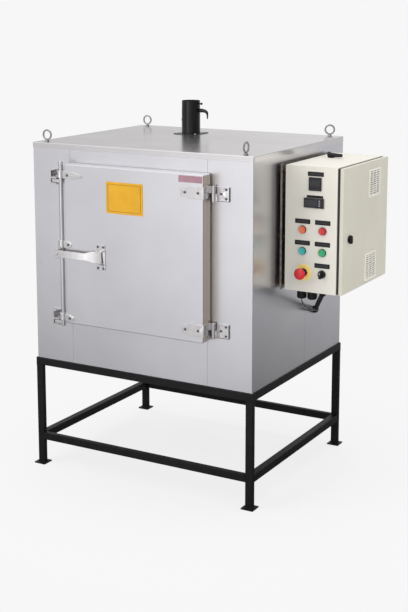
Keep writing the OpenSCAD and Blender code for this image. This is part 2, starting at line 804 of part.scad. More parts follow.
// Channel on the body that a cam turns into: open to the front and towards the bar
module lock_keeper(cam_z) {
    web_t = 3;
    jaw_d = bar_fore + 8 - strap_t;
    jaw_x = bar_x - cam_l - cam_gap;
    jaw_l = bar_x - bar_r - eye_wall - 2 - jaw_x;
    plate_w = 36;
    plate_x = jaw_x - plate_w;
    slot_z = cam_z - cam_gap;
    bottom = slot_z - keeper_jaw;
    block([plate_x, -strap_t, bottom], [plate_w, strap_t, keeper_h]);
    block([jaw_x - web_t, -jaw_d - strap_t, bottom], [web_t, jaw_d, keeper_h]);
    for (z = [bottom, slot_z + cam_t + 2 * cam_gap])
        block([jaw_x - web_t, -jaw_d - strap_t, z], [web_t + jaw_l, jaw_d + strap_t, keeper_jaw]);
    for (spot = [[10, 9], [24, 9], [17, keeper_h - 9]])
        face_screw(plate_x + spot[0], -strap_t, bottom + spot[1]);
}

module lock_keepers() {
    color("#b8b8bc") for (z = [low_cam_z, top_cam_z]) lock_keeper(z);
}

// Pan with round corners, open towards the rear
module door_pan(y, depth) {
    difference() {
        face_plate([door_x, y, door_z], door_w, door_h, depth, door_r);
        face_plate([door_x + sheet_t, y + sheet_t, door_z + sheet_t],
            door_w - 2 * sheet_t, door_h - 2 * sheet_t, depth, door_r - sheet_t);
    }
}

module door_front_pan() {
    color("#dcdcde") door_pan(front_y, front_pan_d);
}

plug_w = chamber_w - 2 * plug_gap;
plug_h = chamber_h - 2 * plug_gap;
plug_x = mouth_x + plug_gap;
plug_z = mouth_z + plug_gap;

// Ring-shaped back of the door, round the plug
module door_rear_pan() {
    y = front_y + front_pan_d;
    color("#6e675c") difference() {
        face_plate([door_x, y, door_z], door_w, door_h, rear_pan_d, door_r);
        face_plate([door_x + sheet_t, y - 1, door_z + sheet_t],
            door_w - 2 * sheet_t, door_h - 2 * sheet_t, rear_pan_d + 1 - sheet_t, door_r - sheet_t);
        block([plug_x, y, plug_z], [plug_w, rear_pan_d + 1, plug_h]);
    }
}

module door_plug() {
    y = -gasket_t - sheet_t;
    color("#a8a49c") difference() {
        block([plug_x, y, plug_z], [plug_w, plug_d - y, plug_h]);
        block([plug_x + sheet_t, y - 1, plug_z + sheet_t],
            [plug_w - 2 * sheet_t, plug_d - y + 1 - sheet_t, plug_h - 2 * sheet_t]);
    }
}

module door_insulation() {
    back_y = -gasket_t - sheet_t;
    color("#e6e0d0") {
        face_plate([door_x + sheet_t, front_y + sheet_t, door_z + sheet_t], door_w - 2 * sheet_t,
            door_h - 2 * sheet_t, back_y - front_y - sheet_t, door_r - sheet_t);
        block([plug_x + sheet_t, back_y - 0.5, plug_z + sheet_t],
            [plug_w - 2 * sheet_t, plug_d - sheet_t - back_y + 0.5, plug_h - 2 * sheet_t]);
    }
}

module door_gasket() {
    inset = 1.5;
    w = door_w - 2 * inset;
    h = door_h - 2 * inset;
    color("#4a4238") difference() {
        face_plate([door_x + inset, -gasket_t, door_z + inset], w, h, gasket_t - 0.3, 16);
        face_plate([door_x + inset + gasket_w, -gasket_t - 1, door_z + inset + gasket_w],
            w - 2 * gasket_w, h - 2 * gasket_w, gasket_t + 2, 4);
    }
}

plate_t = 1.5;
sign_w = 160;
sign_h = 118;
sign_in = 190;
sign_below = 52;
tag_w = 97;
tag_h = 24;
tag_in = 4;
tag_below = 7;

module door_plates() {
    door_top = door_z + door_h;
    color("#e8b820") face_plate([door_x + sign_in, front_y - plate_t, door_top - sign_below - sign_h],
        sign_w, sign_h, plate_t, 4);
    color("#b06a78") face_plate([door_x + door_w - tag_in - tag_w, front_y - plate_t,
        door_top - tag_below - tag_h], tag_w, tag_h, plate_t, 2);
}

// Guide of the lock bar: eye, web to the door's edge, side plate and leaf on the face
module bar_guide(z, leaf) {
    side_y = front_y - strap_t;
    difference() {
        union() {
            rod_z([bar_x, bar_y, z], bar_r + eye_wall, guide_h);
            block([bar_x, bar_y - 4, z], [bar_out, 8, guide_h]);
            block([door_x - strap_t, side_y, z], [strap_t, bar_y - side_y + 8, guide_h]);
            at([door_x - strap_t, front_y, z]) rotate([90, 0, 0]) linear_extrude(strap_t)
                polygon([[0, 0], [leaf * 0.6, 0], [leaf + strap_t, guide_h * 0.25],
                    [leaf + strap_t, guide_h * 0.6], [leaf * 0.5, guide_h], [0, guide_h]]);
        }
        rod_z([bar_x, bar_y, z - 1], bar_r + run_fit, guide_h + 2);
    }
    face_screw(door_x + 17, front_y - strap_t, z + guide_h / 2);
}

module bar_guides() {
    color("#c4c4c8") {
        bar_guide(top_guide_z, 80);
        bar_guide(mid_guide_z, 30);
        bar_guide(low_guide_z, 34);
    }
}

module lever_catch() {
    jaw_l = 30;
    jaw_d = 18;
    plate_z = lever_z - 48;
    color("#b4b4b8") {
        block([catch_x, front_y - 3, plate_z], [catch_w, 3, 97]);
        for (z = [lever_z - grip_h / 2 - 1 - 6, lever_z + grip_h / 2 + 1])
            block([catch_x + 4, front_y - 3 - jaw_d, z], [jaw_l, jaw_d, 6]);
    }
    color("#8c8c90") for (x = [catch_x + 7, catch_x + catch_w - 7], z = [plate_z + 8, plate_z + 89])
        face_screw(x, front_y - 3, z);
}

module lock_bar() {
    color("#b0b0b4") {
        rod_z([bar_x, bar_y, bar_z], bar_r, bar_l);
        for (z = [low_cam_z, top_cam_z]) block([bar_x - cam_l, bar_y - cam_w / 2, z], [cam_l, cam_w, cam_t]);
    }
}

module lock_lever() {
    hub_h = 36;
    hub_z = lever_z - 17;
    far_x = bar_x + lever_l;
    color("#c0c0c4") {
        difference() {
            union() {
                rod_z([bar_x, bar_y, hub_z], bar_r + eye_wall, hub_h);
                block([bar_x - 8, lever_y, hub_z], [16, bar_y - lever_y, hub_h]);
            }
            rod_z([bar_x, bar_y, hub_z - 1], bar_r, hub_h + 2);
        }
        block([bar_x - 8, lever_y, lever_z - lever_h / 2], [lever_l + 8, lever_t, lever_h]);
        hull() {
            block([far_x - 1, lever_y, lever_z - lever_h / 2], [1, lever_t, lever_h]);
            block([grip_x, grip_y, lever_z - grip_h / 2], [1, lever_t, grip_h]);
        }
        block([grip_x, grip_y, lever_z - grip_h / 2], [grip_l, lever_t, grip_h]);
    }
}

spacer_y = [enc_y + 20, enc_back - 20];
spacer_z = [enc_z + 22, enc_z + 195, enc_top - 27];

module heat_shield() {
    over = 2;
    lip = 8;
    y0 = enc_y - over;
    d = enc_d + 2 * over;
    color("#c8ccd0") difference() {
        union() {
            block([shield_x, y0, enc_z - over], [shield_t, d, enc_h + 2 * over]);
            for (y = [y0, y0 + d - shield_t])
                block([shield_x, y, enc_z - over], [lip, shield_t, enc_h + 2 * over]);
        }
        for (y = spacer_y, z = spacer_z) rod_x([shield_x - 5, y, z], bolt_r + hole_fit, 20);
    }
}

module shield_spacers() {
    color("#5a4636") for (y = spacer_y, z = spacer_z) {
        rod_x([body_w, y, z], bolt_r, enc_gap);
        rod_x([body_w, y, z], 9, shield_x - body_w);
        rod_x([shield_x + shield_t, y, z], 9, enc_x - shield_x - shield_t);
    }
}

module enclosure_box() {
    x1 = enc_x + enc_w;
    color("#dad9cc") difference() {
        block([enc_x, enc_y, enc_z], [enc_w, enc_d, enc_h]);
        block([enc_x + enc_t, enc_y + enc_t, enc_z + enc_t],
            [enc_w - 2 * enc_t, enc_d - 2 * enc_t, enc_h - 2 * enc_t]);
        block([x1 - 5, enc_y + enc_lip, enc_z + enc_lip], [10, enc_d - 2 * enc_lip, enc_h - 2 * enc_lip]);
        for (x = ctrl_x, z = [ctrl_z[0], ctrl_z[1]]) rod_y([x, enc_y - 5, z], device_r, 20);
        rod_y([stop_x, enc_y - 5, ctrl_z[2]], device_r, 20);
        rod_y([ctrl_x[1], enc_y - 5, ctrl_z[2]], device_r, 20);
        block([meter_x - meter_w / 2 + 3.5, enc_y - 5, meter_z - meter_h / 2 + 3],
            [meter_w - 7, 20, meter_h - 6]);
        block([gauge_x - gauge_body / 2, enc_y - 5, gauge_z - gauge_body / 2], [gauge_body, 20, gauge_body]);
        for (x = [lead_gland_x, mains_gland_x]) rod_z([x, gland_y, enc_z - 5], gland_thread_r + hole_fit, 20);
        rod_z([conduit_gland_x, conduit_gland_y, enc_z - 5], gland_thread_r + hole_fit, 20);
    }
}

// Fixed half of an enclosure hinge: leaf, lower knuckle and pin
module enclosure_hinges() {
    half = enc_hinge_h / 2;
    leaf_l = 39;
    color("#b8b8b0") for (z = enc_hinge_z) {
        block([enc_pin_x - leaf_l, enc_back, z], [leaf_l, enc_leaf_t, half]);
        block([enc_pin_x - leaf_l, enc_back, z + half], [leaf_l - enc_hinge_r - 3, enc_leaf_t, half]);
        rod_z([enc_pin_x, enc_pin_y, z], enc_hinge_r, half);
        rod_z([enc_pin_x, enc_pin_y, z], enc_pin_r, enc_hinge_h + 1);
    }
}

plate_x = enc_x + 13;
plate_y = enc_y + 100;
rail_z = [enc_z + 130, enc_z + 300];
din_h = 35;
din_d = 7.5;
device_y = plate_y + 30;
device_gap = 18;
breaker = [60, 54, 84];
contactor = [76, 60, 84];
relay = [70, 60, 90];
terminals = 8;
terminal = [46, 8, 52];
terminal_gap = 1;
timer = [62, 72, 76];

module mounting_plate() {
    plate_d = enc_back - plate_y - 16;
    plate_z0 = enc_z + 26;
    plate_h = enc_h - 52;
    color("#c8ccd0") {
        block([plate_x, plate_y, plate_z0], [2, plate_d, plate_h]);
        for (y = [plate_y + 12, plate_y + plate_d - 12], z = [plate_z0 + 12, plate_z0 + plate_h - 12])
            rod_x([enc_x + enc_t, y, z], 5, plate_x - enc_x - enc_t);
        for (z = rail_z) {
            block([plate_x + 2, plate_y + 15, z - din_h / 2 + 5], [din_d - 1, plate_d - 30, din_h - 10]);
            block([plate_x + 1 + din_d, plate_y + 15, z - din_h / 2], [1, plate_d - 30, din_h]);
        }
    }
}

// Circuit breaker, contactor, heater relay and terminals on the rails
module rail_devices() {
    x = plate_x + 2 + din_d;
    color("#d8d8d8") rail_block(x, device_y, 1, breaker);
    color("#6a6c70") rail_block(x, device_y + breaker[1] + device_gap, 1, contactor);
    color("#3c4450") rail_block(x, device_y + breaker[1] + contactor[1] + 2 * device_gap, 1, relay);
    color("#a8a890") for (i = [0:terminals - 1])
        rail_block(x, device_y + i * (terminal[1] + terminal_gap), 0, terminal);
    timer_y = device_y + terminals * (terminal[1] + terminal_gap) + device_gap;
    color("#4a5058") rail_block(x, timer_y, 0, timer);
}

// Plain case of one device, centred on a rail
module rail_block(x, y, rail, size) {
    block([x, y, rail_z[rail] - size[2] / 2], size);
}

// Hexagon of a gland under the enclosure's floor, with its thread and lock nut
module gland_body(x, y) {
    at([x, y, enc_z - gland_hex_h]) cylinder(r = 19, h = gland_hex_h, $fn = 6);
    rod_z([x, y, enc_z], gland_thread_r, enc_t + 8);
    rod_z([x, y, enc_z + enc_t], 16, 6);
}

// Gland whose cap nut points down, with a bore through it unless bore is 0
module floor_gland(x, y, bore) {
    difference() {
        union() {
            gland_body(x, y);
            rod_z([x, y, enc_z - gland_drop + 3], 18, gland_drop - gland_hex_h - 3);
            at([x, y, enc_z - gland_drop]) cylinder(r1 = 15, r2 = 18, h = 3);
        }
        if (bore > 0) rod_z([x, y, enc_z - gland_drop - 1], bore, gland_drop + 20);
    }
}

module cable_glands() {
    top_x = enc_x + top_gland_in;
    top_y = enc_y + top_gland_back;
    color("#18181a") {
        floor_gland(lead_gland_x, gland_y, 0);
        floor_gland(mains_gland_x, gland_y, mains_bore_r);
        difference() {
            union() {
                gland_body(conduit_gland_x, conduit_gland_y);
                at(conduit_top) sphere(elbow_r + 1.5);
                along(conduit_top, conduit_way) cylinder(r = elbow_r, h = elbow_l);
            }
            rod_z(conduit_top, conduit_bore_r + 1, gland_hex_h + 20);
            along(conduit_top + conduit_way, conduit_way) cylinder(r = conduit_bore_r, h = elbow_l);
        }
        difference() {
            union() {
                rod_x(conduit_wall, 14, fitting_l);
                at(conduit_low) sphere(elbow_r + 1.5);
                along(conduit_to, conduit_way) cylinder(r = elbow_r, h = elbow_l);
            }
            block(conduit_wall - [20, 20, 20], [20, 40, 40]);
            rod_x(conduit_wall - [1, 0, 0], conduit_bore_r + 1, fitting_l + 1);
            along(conduit_to - conduit_way, conduit_way) cylinder(r = conduit_bore_r, h = elbow_l);
        }
        rod_z([top_x, top_y, enc_top], 11, 4);
        at([top_x, top_y, enc_top + 10]) rotate([0, 90, 0])
            translate([0, 0, -12]) cylinder(r1 = 9, r2 = 5, h = top_gland_l);
    }
}

module conduit() {
    color("#141416") hose(conduit_route, 2 * conduit_r, conduit_r, 1.6, conduit_bore_r, 70, 8);
}

// Panel meter: a front frame outside the sheet and a case behind it
module panel_case(x, z, w, h, case_w, case_h, case_d) {
    block([x - w / 2, enc_y - frame_t, z - h / 2], [w, frame_t, h]);
    block([x - case_w / 2, enc_y, z - case_h / 2], [case_w, case_d, case_h]);
}

key_z = [for (i = [1, 0, -1]) meter_z + i * 8.5];
key_w = 6;
key_h = 5;

module temperature_controller() {
    color("#26242a") difference() {
        panel_case(meter_x, meter_z, meter_w, meter_h, meter_w - 7.6, meter_h - 6.6, 70);
        block([meter_x - 33, enc_y - frame_t - 1, meter_z - 11], [47, 1.8, 22]);
        for (z = key_z) block([key_x - key_w / 2 - hole_fit, enc_y - frame_t - 1, z - key_h / 2 - hole_fit],
            [key_w + 2 * hole_fit, 4.5, key_h + 2 * hole_fit]);
    }
}

module key_cap(i) {
    color("#c8ccd4") block([key_x - key_w / 2, enc_y - frame_t - key_proud, key_z[i] - key_h / 2],
        [key_w, key_proud + 2, key_h]);
}

module key_top() {
    key_cap(0);
}

module key_middle() {
    key_cap(1);
}

module key_bottom() {
    key_cap(2);
}

module indicator_unit() {
    color("#34343a") difference() {
        panel_case(gauge_x, gauge_z, gauge_s, gauge_s, gauge_body - 0.6, gauge_body - 0.6, 80);
        block([gauge_x - 19, enc_y - frame_t - 1, gauge_z - 8], [38, 1.8, 24]);
    }
}

label_w = 60;
label_h = 17;
label_t = 1;

// Blank label plates: two over the meters, and one over each control but the emergency stop
module label_plates() {
    y = enc_y - label_t;
    color("#202022") {
        block([meter_x - 26, y, gauge_z + gauge_s / 2 + 4], [62, label_t, 16]);
        block([meter_x - 29, y, meter_z + meter_h / 2 + 1], [64, label_t, 9]);
        for (x = ctrl_x, z = [ctrl_z[0], ctrl_z[1]])
            block([x - label_w / 2, y, z + 22], [label_w, label_t, label_h]);
        block([ctrl_x[1] - label_w / 2, y, ctrl_z[2] + 22], [label_w, label_t, label_h]);
    }
}

collar_h = 5;
barrel_r = device_r - 0.15;
stem_r = 9;
stem_fit = 0.1;
recess_floor = 1;
barrel_l = 24;
cap_r = stem_r + 3.8;

// Fixed body of a 22 mm device: bezel, barrel through the sheet and contact block
module device_body(x, z, collar_r, collar) {
    difference() {
        union() {
            rod_y([x, enc_y - collar, z], collar_r, collar);
            rod_y([x, enc_y, z], barrel_r, barrel_l);
            rod_y([x, enc_y + enc_t, z], 14, 6);
        }
        rod_y([x, enc_y - collar - 1, z], stem_r + stem_fit, collar + barrel_l + 2);
    }
    block([x - 15, enc_y + barrel_l, z - 20], [30, 34, 40]);
}

module control_bezels() {
    recess = cap_r + 0.2;
    color("#1a1a1c") {
        for (x = ctrl_x, z = [ctrl_z[0], ctrl_z[1]]) difference() {
            device_body(x, z, bezel_r, collar_h);
            rod_y([x, enc_y - collar_h - 1, z], recess, collar_h + 1 - recess_floor);
        }
        device_body(ctrl_x[1], ctrl_z[2], bezel_r, collar_h);
        device_body(stop_x, ctrl_z[2], 15.5, 12);
    }
    color("#f0c818") difference() {
        rod_y([stop_x, enc_y - 1.5, ctrl_z[2]], disc_r, 1.5);
        rod_y([stop_x, enc_y - 3, ctrl_z[2]], 15.5, 6);
    }
}

// Moving cap and stem of a push button
module button(x, z) {
    cap_h = collar_h - recess_floor - 0.2;
    rod_y([x, enc_y - collar_h - button_travel, z], cap_r, cap_h);
    rod_y([x, enc_y - collar_h - button_travel, z], stem_r, collar_h + 18);
}

module button_orange() {
    color("#e87838") button(ctrl_x[0], ctrl_z[0]);
}

module button_red() {
    color("#c82828") button(ctrl_x[1], ctrl_z[0]);
}

module button_blue() {
    color("#30b0a8") button(ctrl_x[0], ctrl_z[1]);
}

module button_green() {
    color("#20a050") button(ctrl_x[1], ctrl_z[1]);
}

stop_travel = 6;
stop_spigot_r = 6;
stop_face = enc_y - 42;

module stop_plunger() {
    color("#2a2a2c") {
        rod_y([stop_x, enc_y - 26, ctrl_z[2]], stem_r, 42);
        rod_y([stop_x, enc_y - 34, ctrl_z[2]], stop_spigot_r, 10);
    }
}

// Mushroom head with a domed face and a socket for the plunger's spigot
module stop_head() {
    color("#d02020") difference() {
        at([stop_x, enc_y - 26.3, ctrl_z[2]]) rotate([90, 0, 0]) rotate_extrude()
            polygon([[0, 0], [12, 0], [14, 3], [stop_r - 1, 5], [stop_r, 7], [stop_r, 10.5], [stop_r - 2, 13],
                [stop_r - 6, 15], [stop_r - 12, 15.9], [0, 16]]);
        rod_y([stop_x, enc_y - 34.3, ctrl_z[2]], stop_spigot_r + run_fit, 10);
    }
}

module selector_knob() {
    x = ctrl_x[1];
    z = ctrl_z[2];
    color("#1c1c1e") {
        rod_y([x, enc_y - 12, z], 12, 12 - collar_h - 0.3);
        rod_y([x, enc_y - 12, z], stem_r, 28);
        block([x - 3.5, enc_y - 24, z - 14], [7, 12, 26]);
    }
}

module enclosure_door() {
    w = enc_door_t;
    y0 = enc_y + 1;
    d = enc_d - 1;
    z0 = enc_z + 2;
    h = enc_h - 4;
    half = enc_hinge_h / 2;
    color("#c6c5b6") difference() {
        union() {
            difference() {
                block([enc_door_x, y0, z0], [w, d, h]);
                block([enc_door_x + enc_t, y0 + enc_t, z0 + enc_t],
                    [w - 2 * enc_t, d - 2 * enc_t, h - 2 * enc_t]);
                block([enc_door_x - 1, y0 + enc_lip, z0 + enc_lip], [5, d - 2 * enc_lip, h - 2 * enc_lip]);
            }
            for (z = enc_hinge_z) {
                block([enc_pin_x, enc_back, z + half + 0.5],
                    [enc_face_x - enc_pin_x - 2, enc_leaf_t, half - 0.5]);
                rod_z([enc_pin_x, enc_pin_y, z + half + 0.5], enc_hinge_r, half - 0.5);
            }
        }
        for (z = enc_hinge_z) rod_z([enc_pin_x, enc_pin_y, z + half - 1], enc_pin_r + run_fit, half + 3);
        for (i = [0, 1]) block([enc_door_x + 1, vent_y[i] + 9, vent_z[i] + 9],
            [enc_door_t + 1, vent_w - 18, vent_h - 18]);
        rod_x([enc_door_x, latch_y, latch_z], 8 + run_fit, enc_door_t + 5);
    }
}

module enclosure_gasket() {
    inset = 3;
    seal_w = 9;
    y0 = enc_y + inset;
    z0 = enc_z + inset;
    d = enc_d - 2 * inset;
    h = enc_h - 2 * inset;
    x0 = enc_x + enc_w + 0.3;
    color("#2c2c2c") difference() {
        block([x0, y0, z0], [enc_door_x - x0, d, h]);
        block([x0 - 1, y0 + seal_w, z0 + seal_w], [enc_seal + 2, d - 2 * seal_w, h - 2 * seal_w]);
    }
}

// Grille with louvre slots over a filter block
module vent_grille(y, z) {
    slots = 11;
    margin = 9;
    pitch = (vent_h - 2 * margin) / slots;
    difference() {
        union() {
            block([enc_face_x, y, z], [5, vent_w, vent_h]);
            block([enc_face_x - 12, y + 9.3, z + 9.3], [12, vent_w - 18.6, vent_h - 18.6]);
        }
        for (i = [0:slots - 1]) block([enc_face_x + 1, y + margin, z + margin + (i + 0.3) * pitch],
            [5, vent_w - 2 * margin, pitch * 0.4]);
    }
}

module vent_grilles() {
    color("#cfcec0") for (i = [0, 1]) vent_grille(vent_y[i], vent_z[i]);
}

// Quarter-turn latch: wing knob, shaft through the door and a cam behind the frame's plane
module door_latch() {
    cam_reach = latch_y - enc_y - enc_lip - 4;
    shaft_x = enc_x + enc_w - 12;
    color("#1a1a1a") {
        rod_x([enc_face_x, latch_y, latch_z], latch_r, 4);
        at([enc_face_x, latch_y, latch_z]) rotate([90, 0, 90]) linear_extrude(latch_proud)
            polygon([[0, -16], [5, -6], [5, 6], [0, 16], [-5, 6], [-5, -6]]);
        rod_x([shaft_x, latch_y, latch_z], 8, enc_face_x - shaft_x);
        block([shaft_x, latch_y - cam_reach, latch_z - 8], [4, cam_reach, 16]);
    }
}

stand_legs();
top_rails();
stretchers();
base_pan();
side_panel_left();
side_panel_right();
rear_panel();
front_panel();
roof_cap();
wall_insulation();
chamber_liner();
throat_frame();
heating_elements();
rack_guides();
wire_rack();
thermocouple();
probe_lead();
chimney();
lifting_eyes();
damper();
hinge_brackets();
lock_keepers();
door_front_pan();
door_rear_pan();
door_plug();
door_insulation();
door_gasket();
door_plates();
hinge_straps();
bar_guides();
lever_catch();
lock_bar();
lock_lever();
heat_shield();
shield_spacers();
enclosure_box();
enclosure_hinges();
mounting_plate();
rail_devices();
cable_glands();
conduit();
temperature_controller();
indicator_unit();
label_plates();
control_bezels();
enclosure_door();
enclosure_gasket();
vent_grilles();
door_latch();
button_orange();
button_red();
button_blue();
button_green();
stop_plunger();
stop_head();
selector_knob();
key_top();
key_middle();
key_bottom();
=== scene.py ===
"""Looks of a chamber kiln on a stand, with a bar-locked door, a damper chimney and a control enclosure.

Sizes are in millimetres in the part's own frame, and turn to metres where a mesh is made.
"""
import json
import math

import bmesh
import bpy
import numpy as np
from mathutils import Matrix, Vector


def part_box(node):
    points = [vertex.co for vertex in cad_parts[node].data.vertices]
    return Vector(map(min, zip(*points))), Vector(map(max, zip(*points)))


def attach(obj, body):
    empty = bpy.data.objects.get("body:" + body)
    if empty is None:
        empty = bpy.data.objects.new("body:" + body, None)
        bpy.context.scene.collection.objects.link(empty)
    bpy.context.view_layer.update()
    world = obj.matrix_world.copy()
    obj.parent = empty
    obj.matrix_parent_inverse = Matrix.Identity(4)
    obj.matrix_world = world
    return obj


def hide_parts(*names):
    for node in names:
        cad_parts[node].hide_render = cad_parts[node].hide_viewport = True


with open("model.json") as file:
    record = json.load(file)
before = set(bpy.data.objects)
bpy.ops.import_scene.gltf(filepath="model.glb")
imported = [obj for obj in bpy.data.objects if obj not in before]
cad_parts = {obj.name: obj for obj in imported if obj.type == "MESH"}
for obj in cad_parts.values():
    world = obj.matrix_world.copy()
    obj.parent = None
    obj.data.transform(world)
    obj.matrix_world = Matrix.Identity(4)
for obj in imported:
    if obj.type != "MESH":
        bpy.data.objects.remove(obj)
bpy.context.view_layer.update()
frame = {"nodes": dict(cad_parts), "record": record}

MM = 0.001
# The two axes that lie across each axis
ACROSS = [(1, 2), (2, 0), (0, 1)]
BODY_OF = {node: body for body, nodes in frame["record"]["behaviour"]["bodies"].items() for node in nodes}


def box(node):
    """Lowest and highest corner of a CAD node, in millimetres."""
    return tuple(np.array(corner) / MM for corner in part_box(node))


def middle_of(node):
    """Middle of a CAD node's box, in millimetres."""
    low, high = box(node)
    return (low + high) / 2


CORNER = box("base_pan")[0] * [1, 1, 0]
BODY = box("base_pan")[1] - box("base_pan")[0]
ROOF = box("roof_cap")[1][2]


# Camera: the photograph's viewing angle, fitted to the corners of the body

PHOTO_HEIGHT = 612
FOCAL_PIXELS = 1216.2
HORIZON_SHIFT_PIXELS = -92
CAMERA_PLACE = CORNER + [2889.9, -3744.0, 1814.2]
CAMERA_YAW = 29.63
CAMERA_PITCH = 9.67

camera_data = bpy.data.cameras.new("camera")
camera_data.sensor_width = 36
camera_data.lens = 36 * FOCAL_PIXELS / PHOTO_HEIGHT
camera_data.shift_y = HORIZON_SHIFT_PIXELS / PHOTO_HEIGHT
camera = bpy.data.objects.new("camera", camera_data)
camera.location = Vector(CAMERA_PLACE * MM)
camera.rotation_euler = [math.radians(angle) for angle in (90 - CAMERA_PITCH, 0, CAMERA_YAW)]
bpy.context.scene.collection.objects.link(camera)
bpy.context.scene.camera = camera


# Materials


def colour(code):
    """Linear colour of an sRGB hex value."""
    srgb = np.array([int(code[i:i + 2], 16) for i in (1, 3, 5)]) / 255
    return (*np.where(srgb <= 0.04045, srgb / 12.92, ((srgb + 0.055) / 1.055) ** 2.4), 1.0)


def add(tree, kind, inputs=None, **settings):
    """Adds one shader node: settings are its own, and inputs are values or sockets for its sockets."""
    node = tree.nodes.new("ShaderNode" + kind)
    for name, value in settings.items():
        setattr(node, name, value)
    for name, value in (inputs or {}).items():
        if isinstance(value, bpy.types.NodeSocket):
            tree.links.new(value, node.inputs[name])
        else:
            node.inputs[name].default_value = value
    return node


def surface(name, metallic=0.0, **sockets):
    """New material with its shader, and coordinates in millimetres on the object."""
    material = bpy.data.materials.new(name)
    material.use_nodes = True
    tree = material.node_tree
    shader = tree.nodes["Principled BSDF"]
    shader.inputs["Metallic"].default_value = metallic
    for socket, value in sockets.items():
        shader.inputs[socket.replace("_", " ")].default_value = value
    place = add(tree, "TexCoord").outputs["Object"]
    return material, tree, shader, place


def noise(tree, place, size, stretch=(1, 1, 1)):
    """Soft noise whose blotches are size millimetres across, drawn out along the axes in stretch."""
    scaled = add(tree, "Mapping", {"Vector": place, "Scale": tuple(1 / (size * MM * s) for s in stretch)})
    return add(tree, "TexNoise", {"Vector": scaled.outputs[0], "Scale": 1.0, "Detail": 3.0}).outputs["Fac"]


def blend(tree, factor, low, high):
    """Colour that runs from low to high over the middle of a noise."""
    ramp = add(tree, "ValToRGB", {"Fac": factor})
    ramp.color_ramp.elements[0].position = 0.3
    ramp.color_ramp.elements[1].position = 0.7
    ramp.color_ramp.elements[0].color = colour(low)
    ramp.color_ramp.elements[1].color = colour(high)
    return ramp.outputs["Color"]


def vary(tree, factor, low, high):
    """Number that runs from low to high over the middle of a noise."""
    return add(tree, "MapRange", {0: factor, 1: 0.3, 2: 0.7, 3: low, 4: high}).outputs[0]


def relief(tree, shader, height, depth):
    """Bump of a height from 0 to 1 that is depth millimetres deep."""
    bump = add(tree, "Bump", {"Height": height, "Distance": depth * MM, "Strength": 1.0})
    tree.links.new(bump.outputs["Normal"], shader.inputs["Normal"])


def coat(name, low, high, rough, mottle, grain, depth, metallic=0.0, stretch=(1, 1, 1), **sockets):
    """Finish with cloudy colour (mottle mm wide), uneven gloss, and a fine grain that is grain mm wide, depth
    mm deep and drawn out by stretch."""
    material, tree, shader, place = surface(name, metallic, **sockets)
    cloud = noise(tree, place, mottle)
    fine = noise(tree, place, grain, stretch)
    tree.links.new(blend(tree, cloud, low, high), shader.inputs["Base Color"])
    tree.links.new(vary(tree, fine, *rough), shader.inputs["Roughness"])
    relief(tree, shader, fine, depth)
    return material


# Stainless sheet, finish-brushed along the rolling direction: soft mirror with faint upright lines
satin_sheet = coat("satin_stainless_sheet", "#E6E6EA", "#EFEFF2", (0.3, 0.37), 260, 1.6, 0.02, 1.0,
                   (1, 1, 60))
# The same sheet lying flat: its lines run from side to side
satin_roof = coat("satin_stainless_roof", "#E6E4E5", "#EFEDEE", (0.2, 0.27), 260, 1.6, 0.02, 1.0, (60, 1, 1))
# Stainless sheet that heat has tinted straw and grey
heated_sheet = coat("heat_tinted_stainless", "#8C857B", "#A59C8C", (0.38, 0.5), 90, 1.4, 0.03, 1.0,
                    (40, 1, 1))
# Satin enamel sprayed on steel tube: black with a slight orange peel
black_enamel = coat("black_enamel_on_tube", "#0E0E0F", "#151517", (0.42, 0.55), 60, 3.5, 0.05,
                    Specular_IOR_Level=0.25)
# Heat-proof black paint brushed on the flue: semi-gloss with faint upright brush marks
flue_paint = coat("heatproof_black_paint", "#09090A", "#101012", (0.15, 0.21), 40, 2.2, 0.02, 0.0, (1, 1, 14),
                  Specular_IOR_Level=0.45)
# Bright zinc plate on pressed steel: near white, with faint cloudy patches
zinc_plate = coat("bright_zinc_plate", "#E2E0E1", "#EEECEC", (0.2, 0.3), 22, 0.9, 0.015, 1.0)
# Blackened steel of the small screws: dark, with a dull shine. It also colours the dark bars of painted shade
# along the brackets' edges
blackened_steel_and_shade = coat("blackened_steel_and_shade", "#737376", "#87878A", (0.35, 0.5), 6, 0.8, 0.03, 1.0)
# Darker zinc plate on forged steel
forged_zinc = coat("zinc_plate_on_forging", "#9A9B9D", "#BCBDBE", (0.3, 0.45), 8, 1.2, 0.04, 1.0)
# Hard chrome on drawn rod: a clear mirror with fine rings from polishing
chrome_rod = coat("chromed_rod", "#D4D5D8", "#DDDEE0", (0.1, 0.16), 60, 1.0, 0.004, 1.0, (8, 8, 1))
# Structured powder coat in pebble grey: fine, even texture that scatters the light
powder_coat = coat("pebble_grey_powder_coat", "#DCD9CF", "#E2DFD6", (0.42, 0.5), 180, 1.1, 0.06)
# The same coat on the door's outside, painted a shade darker as painted shade for the side that faces away
# from the light
powder_door_shaded = coat("pebble_grey_coat_painted_shade", "#CBC9BA", "#D1CFC1", (0.42, 0.5), 180, 1.1, 0.06)
# Grille moulded in ABS, matched to the coat
grille_plastic = coat("pebble_grey_abs", "#E4E2D8", "#EAE8DF", (0.4, 0.48), 50, 0.8, 0.02)
# Filter mat behind the louvres: loose fibre, coloured dark as painted shade for the slots between the blades
filter_mat_shade = coat("filter_mat_painted_shade", "#2E2D2A", "#45433E", (0.85, 0.95), 8, 1.2, 0.3)
# Glass-filled polyamide, moulded black with a fine spark-eroded grain
black_polyamide = coat("black_polyamide", "#0F0F10", "#161617", (0.4, 0.52), 12, 0.6, 0.03,
                       Specular_IOR_Level=0.35)
# Polycarbonate meter case, near black with a brown cast
meter_plastic = coat("dark_meter_case", "#242126", "#2C292E", (0.38, 0.46), 12, 0.6, 0.015,
                     Specular_IOR_Level=0.35)
# Soft black cellular rubber, dull all over
cell_rubber = coat("cellular_rubber", "#2B2A27", "#383733", (0.8, 0.9), 6, 0.9, 0.15)
